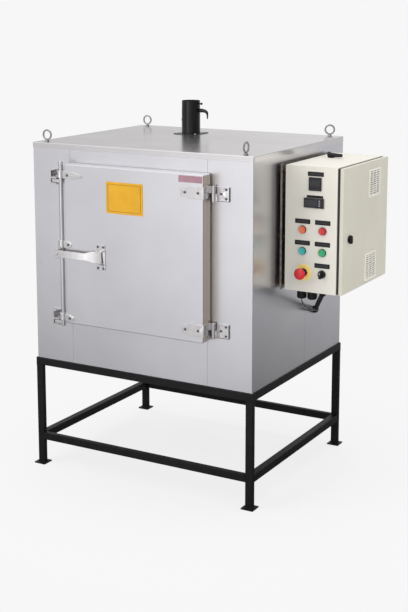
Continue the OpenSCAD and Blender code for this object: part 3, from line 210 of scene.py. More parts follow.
# Moulded device cases in light and dark grey
case_grey = coat("grey_moulded_case", "#B4B6B6", "#BDBFBE", (0.45, 0.55), 20, 0.6, 0.02)
case_dark = coat("dark_moulded_case", "#3A3E42", "#43474B", (0.45, 0.55), 20, 0.6, 0.02)
# Steel sleeves and bolts behind the enclosure, coloured dark brown as painted shade for the shadowed gap
# between the shield and the enclosure
gap_shade_sleeve = coat("spacer_steel_painted_shade", "#4A3826", "#5C4836", (0.4, 0.55), 10, 0.9, 0.03, 0.6)
# Ceramic fibre board: chalky and slightly fibrous
fibre_board = coat("ceramic_fibre_board", "#DAD3C2", "#E8E2D4", (0.85, 0.95), 18, 1.5, 0.4, 0.0, (4, 1, 1))
# Incoloy heater sheath after firing: scaled dark grey-brown
heater_sheath = coat("oxidised_heater_sheath", "#3B332D", "#574B41", (0.5, 0.7), 14, 1.0, 0.05, 0.7)
# Bare steel wire, dulled by heat
rack_wire = coat("dulled_steel_wire", "#9C968A", "#B5AFA3", (0.3, 0.45), 20, 1.0, 0.02, 1.0)
# Cast enamel on the blank sign: strong yellow under a clear gloss
sign_yellow = coat("yellow_sign_enamel", "#D09A14", "#D8A31C", (0.3, 0.38), 40, 2.5, 0.02)
# The printed line round the blank sign
sign_brown = coat("brown_printing_ink", "#5A3F12", "#664818", (0.35, 0.45), 20, 1.5, 0.01)
# Screen-printed polyester film, faded to dusty rose
rose_film = coat("dusty_rose_film", "#9A7680", "#A4818B", (0.35, 0.42), 30, 1.5, 0.01)
# Two-layer laminate for label plates: matt black skin
label_skin = coat("black_label_laminate", "#121213", "#1A1A1B", (0.4, 0.5), 20, 0.7, 0.01,
                  Specular_IOR_Level=0.3)
# The bare grey centre field of a label plate
label_field = coat("grey_label_field", "#1D1D1E", "#252527", (0.4, 0.5), 20, 0.7, 0.01)
# Grey PVC sheath of the probe's lead
grey_pvc = coat("grey_pvc_sheath", "#3A3A3D", "#464649", (0.45, 0.55), 10, 0.7, 0.02)
# Polypropylene conduit, extruded black with a waxy gloss
conduit_plastic = coat("black_polypropylene", "#131314", "#19191A", (0.3, 0.4), 15, 0.8, 0.02)
# White paint spots on screws and the selector's line
white_mark = coat("white_marking_paint", "#E8E8E6", "#EFEFED", (0.4, 0.5), 10, 0.5, 0.01)
# Emergency stop's disc: yellow ABS
disc_yellow = coat("yellow_abs", "#FFE27C", "#FFE992", (0.34, 0.42), 12, 0.7, 0.01)


def moulded(name, low, high):
    """Clear-coloured moulded polycarbonate: deep colour under a hard gloss."""
    return coat(name, low, high, (0.22, 0.3), 10, 0.6, 0.006, Coat_Weight=0.25, Coat_Roughness=0.1)


lens_orange = moulded("orange_lens", "#DE6A3E", "#E8784A")
lens_red = moulded("red_lens", "#C4262E", "#CE3038")
lens_blue = moulded("teal_lens", "#2FA9A6", "#3BB5B0")
lens_green = moulded("green_lens", "#1F9A60", "#29A66A")
stop_red = moulded("stop_head_red", "#C8121E", "#D41C28")
dark_glass = moulded("smoked_window", "#101014", "#151519")
blue_glass = moulded("bluish_window", "#16161F", "#1C1C28")
key_plastic = moulded("pale_key", "#8E93A6", "#9A9FB2")


def galvanised_sheet():
    """Hot-dip galvanised steel, weathered to a warm grey, with leaf-shaped spangle of about 12 mm."""
    material, tree, shader, place = surface("galvanised_sheet", 1.0)
    scaled = add(tree, "Mapping", {"Vector": place, "Scale": (1 / 0.012,) * 3})
    leaves = add(tree, "TexVoronoi", {"Vector": scaled.outputs[0], "Scale": 1.0})
    leaf = add(tree, "SeparateColor", {"Color": leaves.outputs["Color"]}).outputs[0]
    tree.links.new(blend(tree, leaf, "#8F8A84", "#AFA9A1"), shader.inputs["Base Color"])
    tree.links.new(vary(tree, leaf, 0.32, 0.48), shader.inputs["Roughness"])
    relief(tree, shader, leaf, 0.01)
    return material


def warm_reflection_fold(name, edge):
    """Satin sheet with a painted warm reflection on the fold at its hinge side, which ends at edge mm along
    X: the side face is tinted as if it mirrored warm, dim surroundings.
    """
    material = satin_sheet.copy()
    material.name = name
    tree = material.node_tree
    shader = tree.nodes["Principled BSDF"]
    base = shader.inputs["Base Color"].links[0].from_socket
    place = add(tree, "SeparateXYZ", {0: add(tree, "TexCoord").outputs["Object"]}).outputs[0]
    # The band past the fold takes the painted reflection colour
    start, end = (edge - 2.2) * MM, (edge - 0.4) * MM
    fold = add(tree, "MapRange", {0: place, 1: start, 2: end, 3: 0.0, 4: 1.0}).outputs[0]
    tinted = add(tree, "Mix", {0: fold, 6: base, 7: colour("#DDD0C2")}, data_type="RGBA")
    tree.links.new(tinted.outputs[2], shader.inputs["Base Color"])
    return material


def woven_rope():
    """Glass-fibre rope, plaited and pressed flat: strands of about 5 mm cross at a slant."""
    material, tree, shader, _ = surface("glass_fibre_rope")
    uv = add(tree, "TexCoord").outputs["UV"]
    strands = []
    for slant in (0.9, -0.9):
        turned = add(tree, "Mapping", {"Vector": uv, "Rotation": (0, 0, slant)})
        wave = add(tree, "TexWave", {"Vector": turned.outputs[0], "Scale": 0.6, "Distortion": 0.4})
        strands.append(wave.outputs["Fac"])
    weave = add(tree, "Math", {0: strands[0], 1: strands[1]}, operation="MULTIPLY").outputs[0]
    tree.links.new(blend(tree, weave, "#6E655A", "#A3978A"), shader.inputs["Base Color"])
    shader.inputs["Roughness"].default_value = 0.9
    relief(tree, shader, weave, 0.8)
    return material


galvanised = galvanised_sheet()
rope_fibre = woven_rope()


# Shapes: every function gives places in millimetres as an array, and faces as lists of their numbers


def skin(loops, ring=False):
    """Joins rows of points, all of the same count, by quads. The first and last row are closed by a flat
    face, or joined to each other when ring is set."""
    loops = np.asarray(loops, float)
    rows, count = loops.shape[:2]
    row = np.arange(rows if ring else rows - 1)[:, None]
    point = np.arange(count)[None, :]
    after_row = (row + 1) % rows
    after = (point + 1) % count
    quads = np.stack([row * count + point, row * count + after, after_row * count + after,
                      after_row * count + point], -1).reshape(-1, 4).tolist()
    if not ring:
        quads.append(list(range(count))[::-1])
        quads.append(list(range((rows - 1) * count, rows * count)))
    return loops.reshape(-1, 3), quads


def gather(*shapes):
    """Several shapes as one."""
    points, faces, first = [], [], 0
    for shape_points, shape_faces in shapes:
        points.append(np.asarray(shape_points, float))
        faces += [[first + i for i in face] for face in shape_faces]
        first += len(shape_points)
    return np.concatenate(points), faces


def outline(width, height, radius, arc=5):
    """Rectangle about the origin with corners of that radius: a quarter circle at each corner."""
    radius = max(radius, 0.001)
    corners = []
    for quarter, (side_x, side_y) in enumerate([(1, 1), (-1, 1), (-1, -1), (1, -1)]):
        turn = np.linspace(0, math.pi / 2, arc) + quarter * math.pi / 2
        corners.append(np.stack([side_x * (width / 2 - radius) + radius * np.cos(turn),
                                 side_y * (height / 2 - radius) + radius * np.sin(turn)], -1))
    return np.concatenate(corners)


def stand_up(flat, depth, centre, axis):
    """Places a flat outline at a depth along an axis (0, 1 or 2), round a centre."""
    first, second = ACROSS[axis]
    points = np.zeros((len(flat), 3))
    points[:, first] = flat[:, 0] + centre[first]
    points[:, second] = flat[:, 1] + centre[second]
    points[:, axis] = depth
    return points


def rolled(radius, count, inset, place, way=1):
    """Quarter circle that turns a face into a side: rows of an inset, and of a place that moves up the axis
    when way is 1, or down when it is -1."""
    turn = np.linspace(0, math.pi / 2, count)
    return [(inset + radius * (1 - math.sin(t)), place + way * radius * (1 - math.cos(t))) for t in turn]


def insets(low, high, axis, corner, steps):
    """Rounded rectangles that fill a box across an axis: one for each step's inset and place on the axis."""
    low, high = np.asarray(low, float), np.asarray(high, float)
    size, centre = high - low, (low + high) / 2
    first, second = ACROSS[axis]
    return [stand_up(outline(size[first] - 2 * i, size[second] - 2 * i, corner - i), place, centre, axis)
            for i, place in steps]


def bar(low, high, axis, corner, edge):
    """Straight bar along an axis: a rounded rectangle whose rim turns over a quarter circle at each end."""
    steps = rolled(edge, 4, 0, low[axis]) + rolled(edge, 4, 0, high[axis], -1)[::-1]
    return skin(insets(low, high, axis, corner, steps))


def pan(low, high, axis, back, wall, corner, edge):
    """Sheet pan: a rounded rectangle drawn up along an axis. back is 1 when its open side faces up the axis,
    else -1. Its outer rim turns over a quarter circle, its inner face follows one wall inside."""
    face, rim = (low[axis], high[axis]) if back > 0 else (high[axis], low[axis])
    outer = rolled(edge, 6, 0, face, back)
    inside = rolled(max(edge - wall, 0.3), 6, wall, face + back * wall, back)
    return skin(insets(low, high, axis, corner, outer + [(0, rim), (wall, rim)] + inside[::-1]))


def turned(profile, centre, axis, count, lobes=None, ring=False):
    """Solid of revolution: profile is rows of radius and place along the axis, and ring joins the last row to
    the first. lobes gives each row's own outline, as a factor of the radius for an array of angles."""
    angle = np.linspace(0, 2 * math.pi, count, endpoint=False)
    circle = np.stack([np.cos(angle), np.sin(angle)], -1)
    rows = []
    for i, (radius, depth) in enumerate(profile):
        factor = lobes[i](angle) if lobes and lobes[i] else np.ones(count)
        flat = circle * (max(radius, 0.001) * factor)[:, None]
        rows.append(stand_up(flat, centre[axis] + depth, centre, axis))
    return skin(rows, ring)


def hexagon(angle):
    """Distance to a hexagon's flat side, against its corner distance of 1."""
    return math.cos(math.pi / 6) / np.cos((angle + math.pi / 6) % (math.pi / 3) - math.pi / 6)


def cross_slot(angle):
    """Distance to the edge of a plus-shaped recess, whose arms are a third as wide as they are long."""
    folded = np.abs((angle + math.pi / 4) % (math.pi / 2) - math.pi / 4)
    return np.minimum(1.0 / np.cos(folded), 0.32 / np.maximum(np.sin(folded), 0.05))


def unit(vectors):
    """Vectors of length 1."""
    return vectors / np.linalg.norm(vectors, axis=-1, keepdims=True)


def swept(path, radii, count, up=(0.13, 0.31, 0.94)):
    """Round section carried along a path, square to it, closed at both ends. up is any way off the path."""
    path = np.asarray(path, float)
    way = unit(np.gradient(path, axis=0))
    side = unit(np.cross(way, np.asarray(up, float)))
    over = np.cross(side, way)
    angle = np.linspace(0, 2 * math.pi, count, endpoint=False)[None, :, None]
    radii = np.broadcast_to(np.asarray(radii, float), (len(path),))[:, None, None]
    circle = np.cos(angle) * side[:, None, :] + np.sin(angle) * over[:, None, :]
    return skin(path[:, None, :] + radii * circle)


def evenly(path, count):
    """Distances and places at equal steps along a flat path of corners, short of its end."""
    length = np.concatenate([[0], np.cumsum(np.linalg.norm(np.diff(path, axis=0), axis=1))])
    along = np.linspace(0, length[-1], count, endpoint=False)
    return along, np.stack([np.interp(along, length, path[:, i]) for i in (0, 1)], -1)


def bead(path, outward, across, deep, centre, axis):
    """Ring along a closed flat path: across and deep are its section's places outward and along the axis."""
    first, second = ACROSS[axis]
    flat = path[:, None, :] + across[..., None] * outward[:, None, :]
    rows = np.zeros((*flat.shape[:2], 3))
    rows[..., first] = flat[..., 0] + centre[first]
    rows[..., second] = flat[..., 1] + centre[second]
    rows[..., axis] = deep
    return skin(rows, ring=True)


def curve(points, count):
    """Cubic curve through the first and last of four points, drawn towards the two in the middle."""
    a, b, c, d = (np.asarray(p, float) for p in points)
    t = np.linspace(0, 1, count)[:, None]
    return (1 - t) ** 3 * a + 3 * (1 - t) ** 2 * t * b + 3 * (1 - t) * t ** 2 * c + t ** 3 * d


def piece(name, shape, material, node, sharp=35, hides=True):
    """Makes an object from a shape, for a CAD node. hides says whether it stands in for the node."""
    points, faces = shape
    mesh = bpy.data.meshes.new(name)
    mesh.from_pydata((np.asarray(points) * MM).tolist(), [], faces)
    clean = bmesh.new()
    clean.from_mesh(mesh)
    bmesh.ops.remove_doubles(clean, verts=clean.verts, dist=1e-6)
    bmesh.ops.recalc_face_normals(clean, faces=clean.faces)
    clean.to_mesh(mesh)
    clean.free()
    return finished(name, mesh, material, node, sharp, 0.0, hides)


def finished(name, mesh, material, node, sharp, bevel, hides):
    """Links a mesh as an object with its material, smooth up to a sharp angle, with a bevel where it has one.
    It rides on the node's body, and hides the node when hides is set."""
    mesh.shade_smooth()
    mesh.set_sharp_from_angle(angle=math.radians(sharp))
    mesh.materials.clear()
    mesh.materials.append(material)
    thing = bpy.data.objects.new(name, mesh)
    bpy.context.scene.collection.objects.link(thing)
    if bevel:
        rounding = thing.modifiers.new("rounding", "BEVEL")
        rounding.width = bevel * MM
        rounding.segments = 2
        rounding.limit_method = "ANGLE"
        rounding.angle_limit = math.radians(sharp)
        rounding.use_clamp_overlap = False
        rounding.harden_normals = True
    else:
        # Flat faces shade flat up to their rims, which hold the turn of the light
        evened = thing.modifiers.new("evened", "WEIGHTED_NORMAL")
        evened.keep_sharp = True
    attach(thing, BODY_OF[node])
    if hides:
        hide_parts(node)
    return thing


def softened(node, material, rounding):
    """Copy of a CAD node with its points merged, its flat faces joined and its hard edges rounded."""
    mesh = frame["nodes"][node].data.copy()
    clean = bmesh.new()
    clean.from_mesh(mesh)
    bmesh.ops.remove_doubles(clean, verts=clean.verts, dist=2e-6)
    bmesh.ops.dissolve_limit(clean, angle_limit=math.radians(0.5), verts=clean.verts, edges=clean.edges)
    clean.to_mesh(mesh)
    clean.free()
    return finished(node + "_rounded", mesh, material, node, 35, rounding, True)


def dress(node, material):
    """Gives a CAD node that stays its material."""
    data = frame["nodes"][node].data
    data.materials.clear()
    data.materials.append(material)


def screws(name, places, axis, way, node, radius, height, material=zinc_plate):
    """Pan-head screws with a cross recess: a dome on a short rim, sunk by a plus-shaped pit. way is 1 or -1
    along the axis."""
    dome = [(0.98, 0), (1, 0.25), (0.93, 0.62), (0.74, 0.88), (0.58, 1)]
    pit = [(0.56, 1), (0.44, 0.83), (0, 0.81)]
    profile = [(radius * out, way * height * up) for out, up in dome + pit]
    lobes = [None] * len(dome) + [cross_slot, cross_slot, None]
    shapes = [turned(profile, place, axis, 32, lobes) for place in places]
    piece(name, gather(*shapes), material, node, sharp=50, hides=False)


def front_screws(name, places, node, radius):
    """Blackened screws on a face towards the front."""
    screws(name, places, 1, -1, node, radius, 3.4, blackened_steel_and_shade)


def points_of(mesh):
    """Places of a mesh's points, in millimetres."""
    points = np.zeros(len(mesh.vertices) * 3)
    mesh.vertices.foreach_get("co", points)
    return points.reshape(-1, 3) / MM


# Stand


def stand():
    """Legs, rails and stretchers as round-cornered tube, plates and weld seams."""
    rail_low, rail_high = box("top_rails")
    stretcher_low, stretcher_high = box("stretchers")
    foot, thick = 50, 5
    leg_x, leg_y = 30, 20
    around_leg = outline(leg_x, leg_y, 3, 6)
    legs, plates, seams = [], [], []
    for x in (rail_low[0], rail_high[0] - leg_x):
        for y in (rail_low[1], rail_high[1] - leg_y):
            legs.append(bar((x, y, thick), (x + leg_x, y + leg_y, rail_low[2]), 2, 3.0, 0.2))
            middle = np.array([x + leg_x / 2, y + leg_y / 2])
            plates.append(bar((*(middle - foot / 2), 0), (*(middle + foot / 2), thick), 2, 2.0, 0.8))
            seams += [seam(around_leg, middle, height) for height in (thick, rail_low[2])]
    piece("leg_tubes", gather(*legs), black_enamel, "stand_legs")
    piece("foot_plates", gather(*plates), black_enamel, "stand_legs", hides=False)
    piece("leg_welds", gather(*seams), black_enamel, "stand_legs", sharp=80, hides=False)

    width = rail_high[2] - rail_low[2]
    piece("rail_tubes", tube_frame(rail_low, rail_high, width, width, 0, 1.0), black_enamel, "top_rails")
    low, high = (*rail_low[:2], stretcher_low[2]), (*rail_high[:2], stretcher_high[2])
    piece("stretcher_tubes", tube_frame(low, high, leg_x, leg_y, leg_x, 0.1), black_enamel, "stretchers")


def tube_frame(low, high, width, depth, inset, edge):
    """Frame of four tubes: two along X whose ends lie inset from the frame's sides, and two along Y."""
    along_x = [bar((low[0] + inset, y, low[2]), (high[0] - inset, y + depth, high[2]), 0, 3.0, edge)
               for y in (low[1], high[1] - depth)]
    along_y = [bar((x, low[1] + depth, low[2]), (x + width, high[1] - depth, high[2]), 1, 3.0, 0.1)
               for x in (low[0], high[0] - width)]
    return gather(*along_x, *along_y)


def seam(flat, middle, height):
    """Weld bead round an outline at a height: a thin ring whose radius ripples along its way."""
    radius, ripple = 1.6, 0.35
    along, path = evenly(flat, 90)
    angle = np.linspace(0, 2 * math.pi, 8, endpoint=False)
    swell = (radius + ripple * np.sin(along * 2.2))[:, None]
    return bead(path, unit(path), swell * np.cos(angle), height + swell * np.sin(angle), middle, 2)


# Casing


def folded(path, bend, wall, low, high):
    """Sheet folded along a path of corners in plan, and drawn up from low to high: each corner is an arc, and
    the second face is the first one moved inwards by the wall."""
    path = np.asarray(path, float)
    outer, inner = [], []
    for i, corner in enumerate(path):
        before = unit(corner - path[i - 1]) if i else unit(path[1] - path[0])
        after = unit(path[i + 1] - corner) if i + 1 < len(path) else before
        normal_before = np.array([-before[1], before[0]])
        normal_after = np.array([-after[1], after[0]])
        if np.allclose(before, after):
            outer.append(corner)
            inner.append(corner + wall * normal_after)
            continue
        centre = corner + bend * (normal_before + normal_after)
        for t in np.linspace(0, math.pi / 2, 7):
            ray = -(math.cos(t) * normal_before + math.sin(t) * normal_after)
            outer.append(centre + bend * ray)
            inner.append(centre + (bend - wall) * ray)
    flat = np.array(outer + inner[::-1])
    return skin([np.column_stack([flat, np.full(len(flat), z)]) for z in (low, high)])


def casing():
    """Side sheets with their folded returns, flat front and rear sheets, and the roof cap round the flue."""
    wall, bend, gap = 1.5, 3.0, 0.5
    seam_y = CORNER[1] + 443
    for name, way in (("left", -1), ("right", 1)):
        low, high = box("side_panel_" + name)
        inside, outside = (high[0], low[0]) if way < 0 else (low[0], high[0])
        # A sheet's inner face lies to the left of its path, so the left sheet is walked the other way round
        path = [[inside, low[1]], [outside, low[1]], [outside, seam_y - gap]][::way]
        front = folded(path, bend, wall, low[2], high[2])
        x = min(outside, outside - way * wall)
        rear = bar((x, seam_y + gap, low[2]), (x + wall, high[1], high[2]), 2, 0.3, 0.3)
        piece(name + "_side_sheets", gather(front, rear), satin_sheet, "side_panel_" + name)
    for node in ("front_panel", "rear_panel", "base_pan"):
        softened(node, satin_sheet, 0.3)

    low, high = box("roof_cap")
    flue = middle_of("chimney")[:2]
    hole = 38.3
    edge = 3.0
    outer = rolled(edge, 6, 0, high[2], -1)
    inside = rolled(edge - wall, 6, wall, high[2] - wall, -1)
    rows = insets(low, high, 2, 4, outer + [(0, low[2]), (wall, low[2])] + inside[::-1])
    for z, near in ((high[2] - wall, rows[-1]), (high[2], rows[0])):
        ring = flue + hole * unit(near[:, :2] - flue)
        rows.append(np.column_stack([ring, np.full(len(ring), z)]))
    piece("roof_sheet", skin(rows, ring=True), satin_roof, "roof_cap")


def lifting_eyes():
    """Eye bolts: a forged ring on a collar and washer."""
    inset_x, inset_y = 46, 30
    right, back = BODY[:2] - [inset_x, inset_y]
    rod, outer, collar_top = 3.5, 21.5, 5
    collar = [(9, 0), (9.5, 0.4), (9.5, 1.6), (7.2, 1.9), (6.8, 4.4), (5.5, 5.2), (4.2, 6.4), (3.6, 8)]
    around = np.linspace(0, 2 * math.pi, 48, endpoint=False)[:, None]
    section = np.linspace(0, 2 * math.pi, 12, endpoint=False)[None, :, None]
    shapes = []
    for x, y, turn in ((inset_x, inset_y, 0), (right, inset_y, 90), (inset_x, back, 0), (right, back, 30)):
        foot = np.array([CORNER[0] + x, CORNER[1] + y, ROOF])
        centre = foot + [0, 0, collar_top + outer]
        face = np.array([math.cos(math.radians(turn)), math.sin(math.radians(turn)), 0])
        normal = np.array([-face[1], face[0], 0])
        spoke = (np.cos(around) * face + np.sin(around) * [0, 0, 1])[:, None, :]
        rows = centre + (outer - rod) * spoke + rod * (np.cos(section) * spoke + np.sin(section) * normal)
        shapes += [skin(rows, ring=True), turned(collar, foot, 2, 32)]
    piece("eye_bolts", gather(*shapes), forged_zinc, "lifting_eyes", sharp=50)


# Chimney and damper


def chimney():
    """Flue tube with a rolled rim and a lapped seam, its flange with screws, and two small fixings."""
    low, high = box("chimney")
    middle = (low + high) / 2
    x, y = middle[:2]
    radius, wall = 38.0, 1.5
    tall = high[2] - low[2]
    duct = tall - 32
    profile = [(radius - wall, 0), (radius, 0), (radius, duct - 2), (radius - 0.5, duct),
               (radius - 0.5, tall - 1.0), (radius - 0.9, tall), (radius - wall + 0.3, tall),
               (radius - wall, tall - 0.6)]
    tube = turned(profile, (x, y, low[2]), 2, 96, ring=True)
    lap = bar((x - 5, y + radius - 0.6, ROOF + 3), (x + 5, y + radius + 0.9, high[2] - 36), 2, 0.7, 0.5)
    piece("flue_tube", gather(tube, lap), flue_paint, "chimney")

    side = (high[0] - low[0]) / 2
    square = outline(2 * side, 2 * side, 3, 6)
    edges = [(square * (side - inset) / side, up) for inset, up in ((0, 0.0), (0, 2.4), (0.6, 3.0))]
    edges += [((radius + 0.2) * unit(square), up) for up in (3.0, 0.0)]
    flange = skin([stand_up(flat, ROOF + up, middle, 2) for flat, up in edges], ring=True)
    piece("flue_flange", flange, flue_paint, "chimney", hides=False)
    corner = side - 9
    spots = [(x + side_x * corner, y + side_y * corner, ROOF + 3) for side_x in (-1, 1) for side_y in (-1, 1)]
    screws("flue_flange_screws", spots, 2, 1, "chimney", 3.6, 2.0)
    bolt = turned([(2.0, -0.5), (2.0, 9), (5.0, 9), (5.0, 14), (4.4, 14.5)], (x + radius, y, ROOF + 124), 0,
                  24, [None, None, hexagon, hexagon, hexagon])
    boss = turned([(13, 3.0), (12.5, 0.5), (10, -1.8), (6, -3.4), (2, -4.0)], (x - radius, y, ROOF + 56), 0,
                  32)
    piece("flue_fixings", gather(bolt, boss), flue_paint, "chimney", sharp=50, hides=False)


def damper():
    """Damper: a shaft through the flue, a round blade, and a lever that thins out and hooks down."""
    low, high = box("damper")
    x, y = middle_of("chimney")[:2]
    height = ROOF + 96
    blade_r = 35.0
    start, end = low[0], high[0]
    profile = [(blade_r - 0.4, -1), (blade_r, -0.6), (blade_r, 0.6), (blade_r - 0.4, 1)]
    blade = turned(profile, (x, y, height), 1, 64)
    shaft = turned([(3.4, start), (4, start + 0.6), (4, x + 39)], (0, y, height), 0, 24)
    lever = curve([(x + 38.6, y, height), (end - 4, y, height + 2), (end - 0.5, y, height - 6),
                   (end - 3.2, y, low[2] + 1.5)], 40)
    thick = np.interp(np.linspace(0, 1, 40), [0, 0.08, 0.4, 0.62, 0.8, 1], [7.6, 8.2, 6.4, 5.2, 3.2, 2.4])
    thick[-1] = 1.2
    shape = gather(blade, shaft, swept(lever, thick, 16, up=(0, 1, 0)))
    piece("damper_shaft", shape, flue_paint, "damper", sharp=50)


# Oven door


def oven_door():
    """Two pans back to back, with the plug and its rope seal, and the blank plates on the face."""
    low, high = box("door_front_pan")
    groove = 0.5
    # The face's hinge-side fold carries a painted warm reflection
    piece("door_face", pan(low, (high[0], high[1] - groove, high[2]), 1, 1, 1.5, 7, 3.5),
          warm_reflection_fold("door_face_sheet", high[0]), "door_front_pan")
    rear_low, rear_high = box("door_rear_pan")
    plug_low, plug_high = box("door_plug")
    plug_width, _, plug_height = plug_high - plug_low
    steps = [(0.0, rear_low[1])] + rolled(2.5, 5, 0, rear_high[1], -1)[::-1]
    rows = insets(rear_low, rear_high, 1, 7, steps)
    hole = outline(plug_height, plug_width, 0.5)
    rows += [stand_up(hole, y, middle_of("door_rear_pan"), 1) for y in (rear_high[1], rear_low[1])]
    # The back pan's hinge-side fold carries the same painted warm reflection
    piece("door_back", skin(rows, ring=True), warm_reflection_fold("door_back_sheet", rear_high[0]), "door_rear_pan")
    piece("door_plug_shell", pan(plug_low, plug_high, 1, -1, 1.5, 5, 3), heated_sheet, "door_plug")
    rope_seal()

    sign, tag = sign_boxes()
    piece("sign_plate", bar(*sign, 1, 4, 0.5), sign_yellow, "door_plates")
    margin = 9
    size = sign[1] - sign[0] - 2 * margin
    line = rib(outline(size[2], size[0], 3, 8), (sign[0] + sign[1]) / 2, sign[0][1], 0.9)
    piece("sign_lines", line, sign_brown, "door_plates", sharp=80, hides=False)
    piece("tag_plate", bar(*tag, 1, 2, 0.4), rose_film, "door_plates", hides=False)
    dots = [(high[0] - 101 + step, low[1] + 14, high[2] - 0.4) for step in (0, 11)]
    screws("door_top_screws", dots, 2, 1, "door_front_pan", 2.4, 1.2, forged_zinc)


def sign_boxes():
    """Corners of the yellow plate and of the small plate, which share one CAD node."""
    low, high = box("door_plates")
    sign = (low, np.array([low[0] + 160, high[1], low[2] + 118]))
    tag = (np.array([high[0] - 97, low[1], high[2] - 24]), high)
    return sign, tag


def rib(flat, centre, depth, radius):
    """Half-round bead along a flat outline on a face towards the front."""
    angle = np.linspace(0, 2 * math.pi, 8, endpoint=False)
    return bead(flat, unit(flat), radius * np.cos(angle), depth + radius * 0.7 * np.sin(angle), centre, 1)


def rope_seal():
    """Rope ring: a flattened round section along a rounded rectangle, with its own map for the plait."""
    low, high = box("door_gasket")
    size, middle = high - low, (low + high) / 2
    width = 22.0
    lump_length = 9.0
    strand = 8
    flat = outline(size[2] - width, size[0] - width, 12, 12)
    along, path = evenly(np.vstack([flat, flat[:1]]), 700)
    way = unit(np.roll(path, -1, axis=0) - np.roll(path, 1, axis=0))
    outward = np.stack([way[:, 1], -way[:, 0]], -1)
    angle = np.linspace(0, 2 * math.pi, 20, endpoint=False)
    # The section is a circle pressed towards a square: its sine and cosine are raised to a power below 1
    across, deep = (np.sign(part) * np.abs(part) ** 0.7 for part in (np.cos(angle), np.sin(angle)))
    lump = 1 + 0.03 * np.sin(along * 2 * math.pi / lump_length)[:, None]
    ring = bead(path, outward, across * width / 2 * lump, middle[1] + deep * size[1] / 2 * 0.97, middle, 1)
    seal = piece("rope_seal", ring, rope_fibre, "door_gasket", sharp=80)
    # The map runs at a slant to the ring's sides, in units of a strand
    place = points_of(seal.data)
    slant = np.stack([place[:, 0] + place[:, 2], place[:, 0] - place[:, 2]], -1) / strand
    corner = np.zeros(len(seal.data.loops), int)
    seal.data.loops.foreach_get("vertex_index", corner)
    seal.data.uv_layers.new(name="plait").data.foreach_set("uv", slant[corner].ravel())


def hinges():
    """Straps, brackets, guides, catch and keepers with rounded edges, and a cross-head screw in each hole."""
    for node, rounding in (("hinge_straps", 0.8), ("hinge_brackets", 0.7), ("bar_guides", 0.8),
                           ("lock_keepers", 0.7), ("lever_catch", 0.7)):
        softened(node, zinc_plate, rounding)
    strap_low, strap_high = box("hinge_straps")
    door_low, door_high = box("door_front_pan")
    strap_h, bracket_drop, sheet = 44, 12, 4
    strap_bottoms = (strap_low[2], strap_high[2] - strap_h)
    door_face, body_face = door_low[1] - sheet, CORNER[1] - sheet
    spots = [(door_high[0] - out, door_face, bottom + strap_h / 2)
             for bottom in strap_bottoms for out in (19, 73)]
    front_screws("strap_screws", spots, "hinge_straps", 5.2)
    pin_x = door_high[0] + 17
    spots = [(pin_x + out, body_face, bottom - bracket_drop + share * (strap_h + bracket_drop))
             for bottom in strap_bottoms for out, share in ((26, 0.5), (46, 0.8), (46, 0.2))]
    front_screws("bracket_screws", spots, "hinge_brackets", 4.9)
    bracket_ribs_and_shade(pin_x, [(bottom - bracket_drop, bottom + strap_h - 2) for bottom in strap_bottoms])
    spots = [(door_low[0] + 17, door_face, z + 13) for z in guide_bottoms()]
    front_screws("guide_screws", spots, "bar_guides", 5.2)
    low, high = box("lever_catch")
    spots = [(x, door_low[1] - 3, z) for x in (low[0] + 7, high[0] - 7) for z in (low[2] + 8, low[2] + 89)]
    front_screws("catch_screws", spots, "lever_catch", 4.9)
    low, high = box("lock_keepers")
    tall = 53
    spots = [(low[0] + x, body_face, base + z) for base in (low[2], high[2] - tall)
             for x, z in ((10, 9), (24, 9), (17, tall - 9))]
    front_screws("keeper_screws", spots, "lock_keepers", 4.9)


def bracket_ribs_and_shade(pin_x, heights):
    """Upright ribs beside the brackets' pins, and dark bars along the edges of their plates, at each pair of
    heights: the bars are painted shade for the shadow on the plates' edges.
    """
    y = CORNER[1]
    ribs, rims = [], []
    for bottom, top in heights:
        for out, half, proud in ((12, 1.6, 7), (19, 1.2, 5.5)):
            x = pin_x + out
            ribs.append(bar((x - half, y - proud, bottom + 1), (x + half, y - 3, top - 1), 2, 1.0, 0.6))
        # Dark bars down the plates' sides and along their bottoms: painted shade
        for out in (9.4, 57.6):
            x = pin_x + out
            rims.append(bar((x - 0.9, y - 6, bottom + 1), (x + 0.9, y - 1, top - 1), 2, 0.6, 0.4))
        rims.append(bar((pin_x + 10, y - 6, bottom + 0.4), (pin_x + 58, y - 1, bottom + 2.0), 0, 0.6, 0.4))
    piece("bracket_flanges", gather(*ribs), zinc_plate, "hinge_brackets", hides=False)
    piece("bracket_edge_shade", gather(*rims), blackened_steel_and_shade, "hinge_brackets", hides=False)


def guide_bottoms():
    """Heights of the lock bar's three guides: top, middle and low."""
    low, high = box("bar_guides")
    return high[2] - 26, middle_of("lock_lever")[2] + 22, low[2]


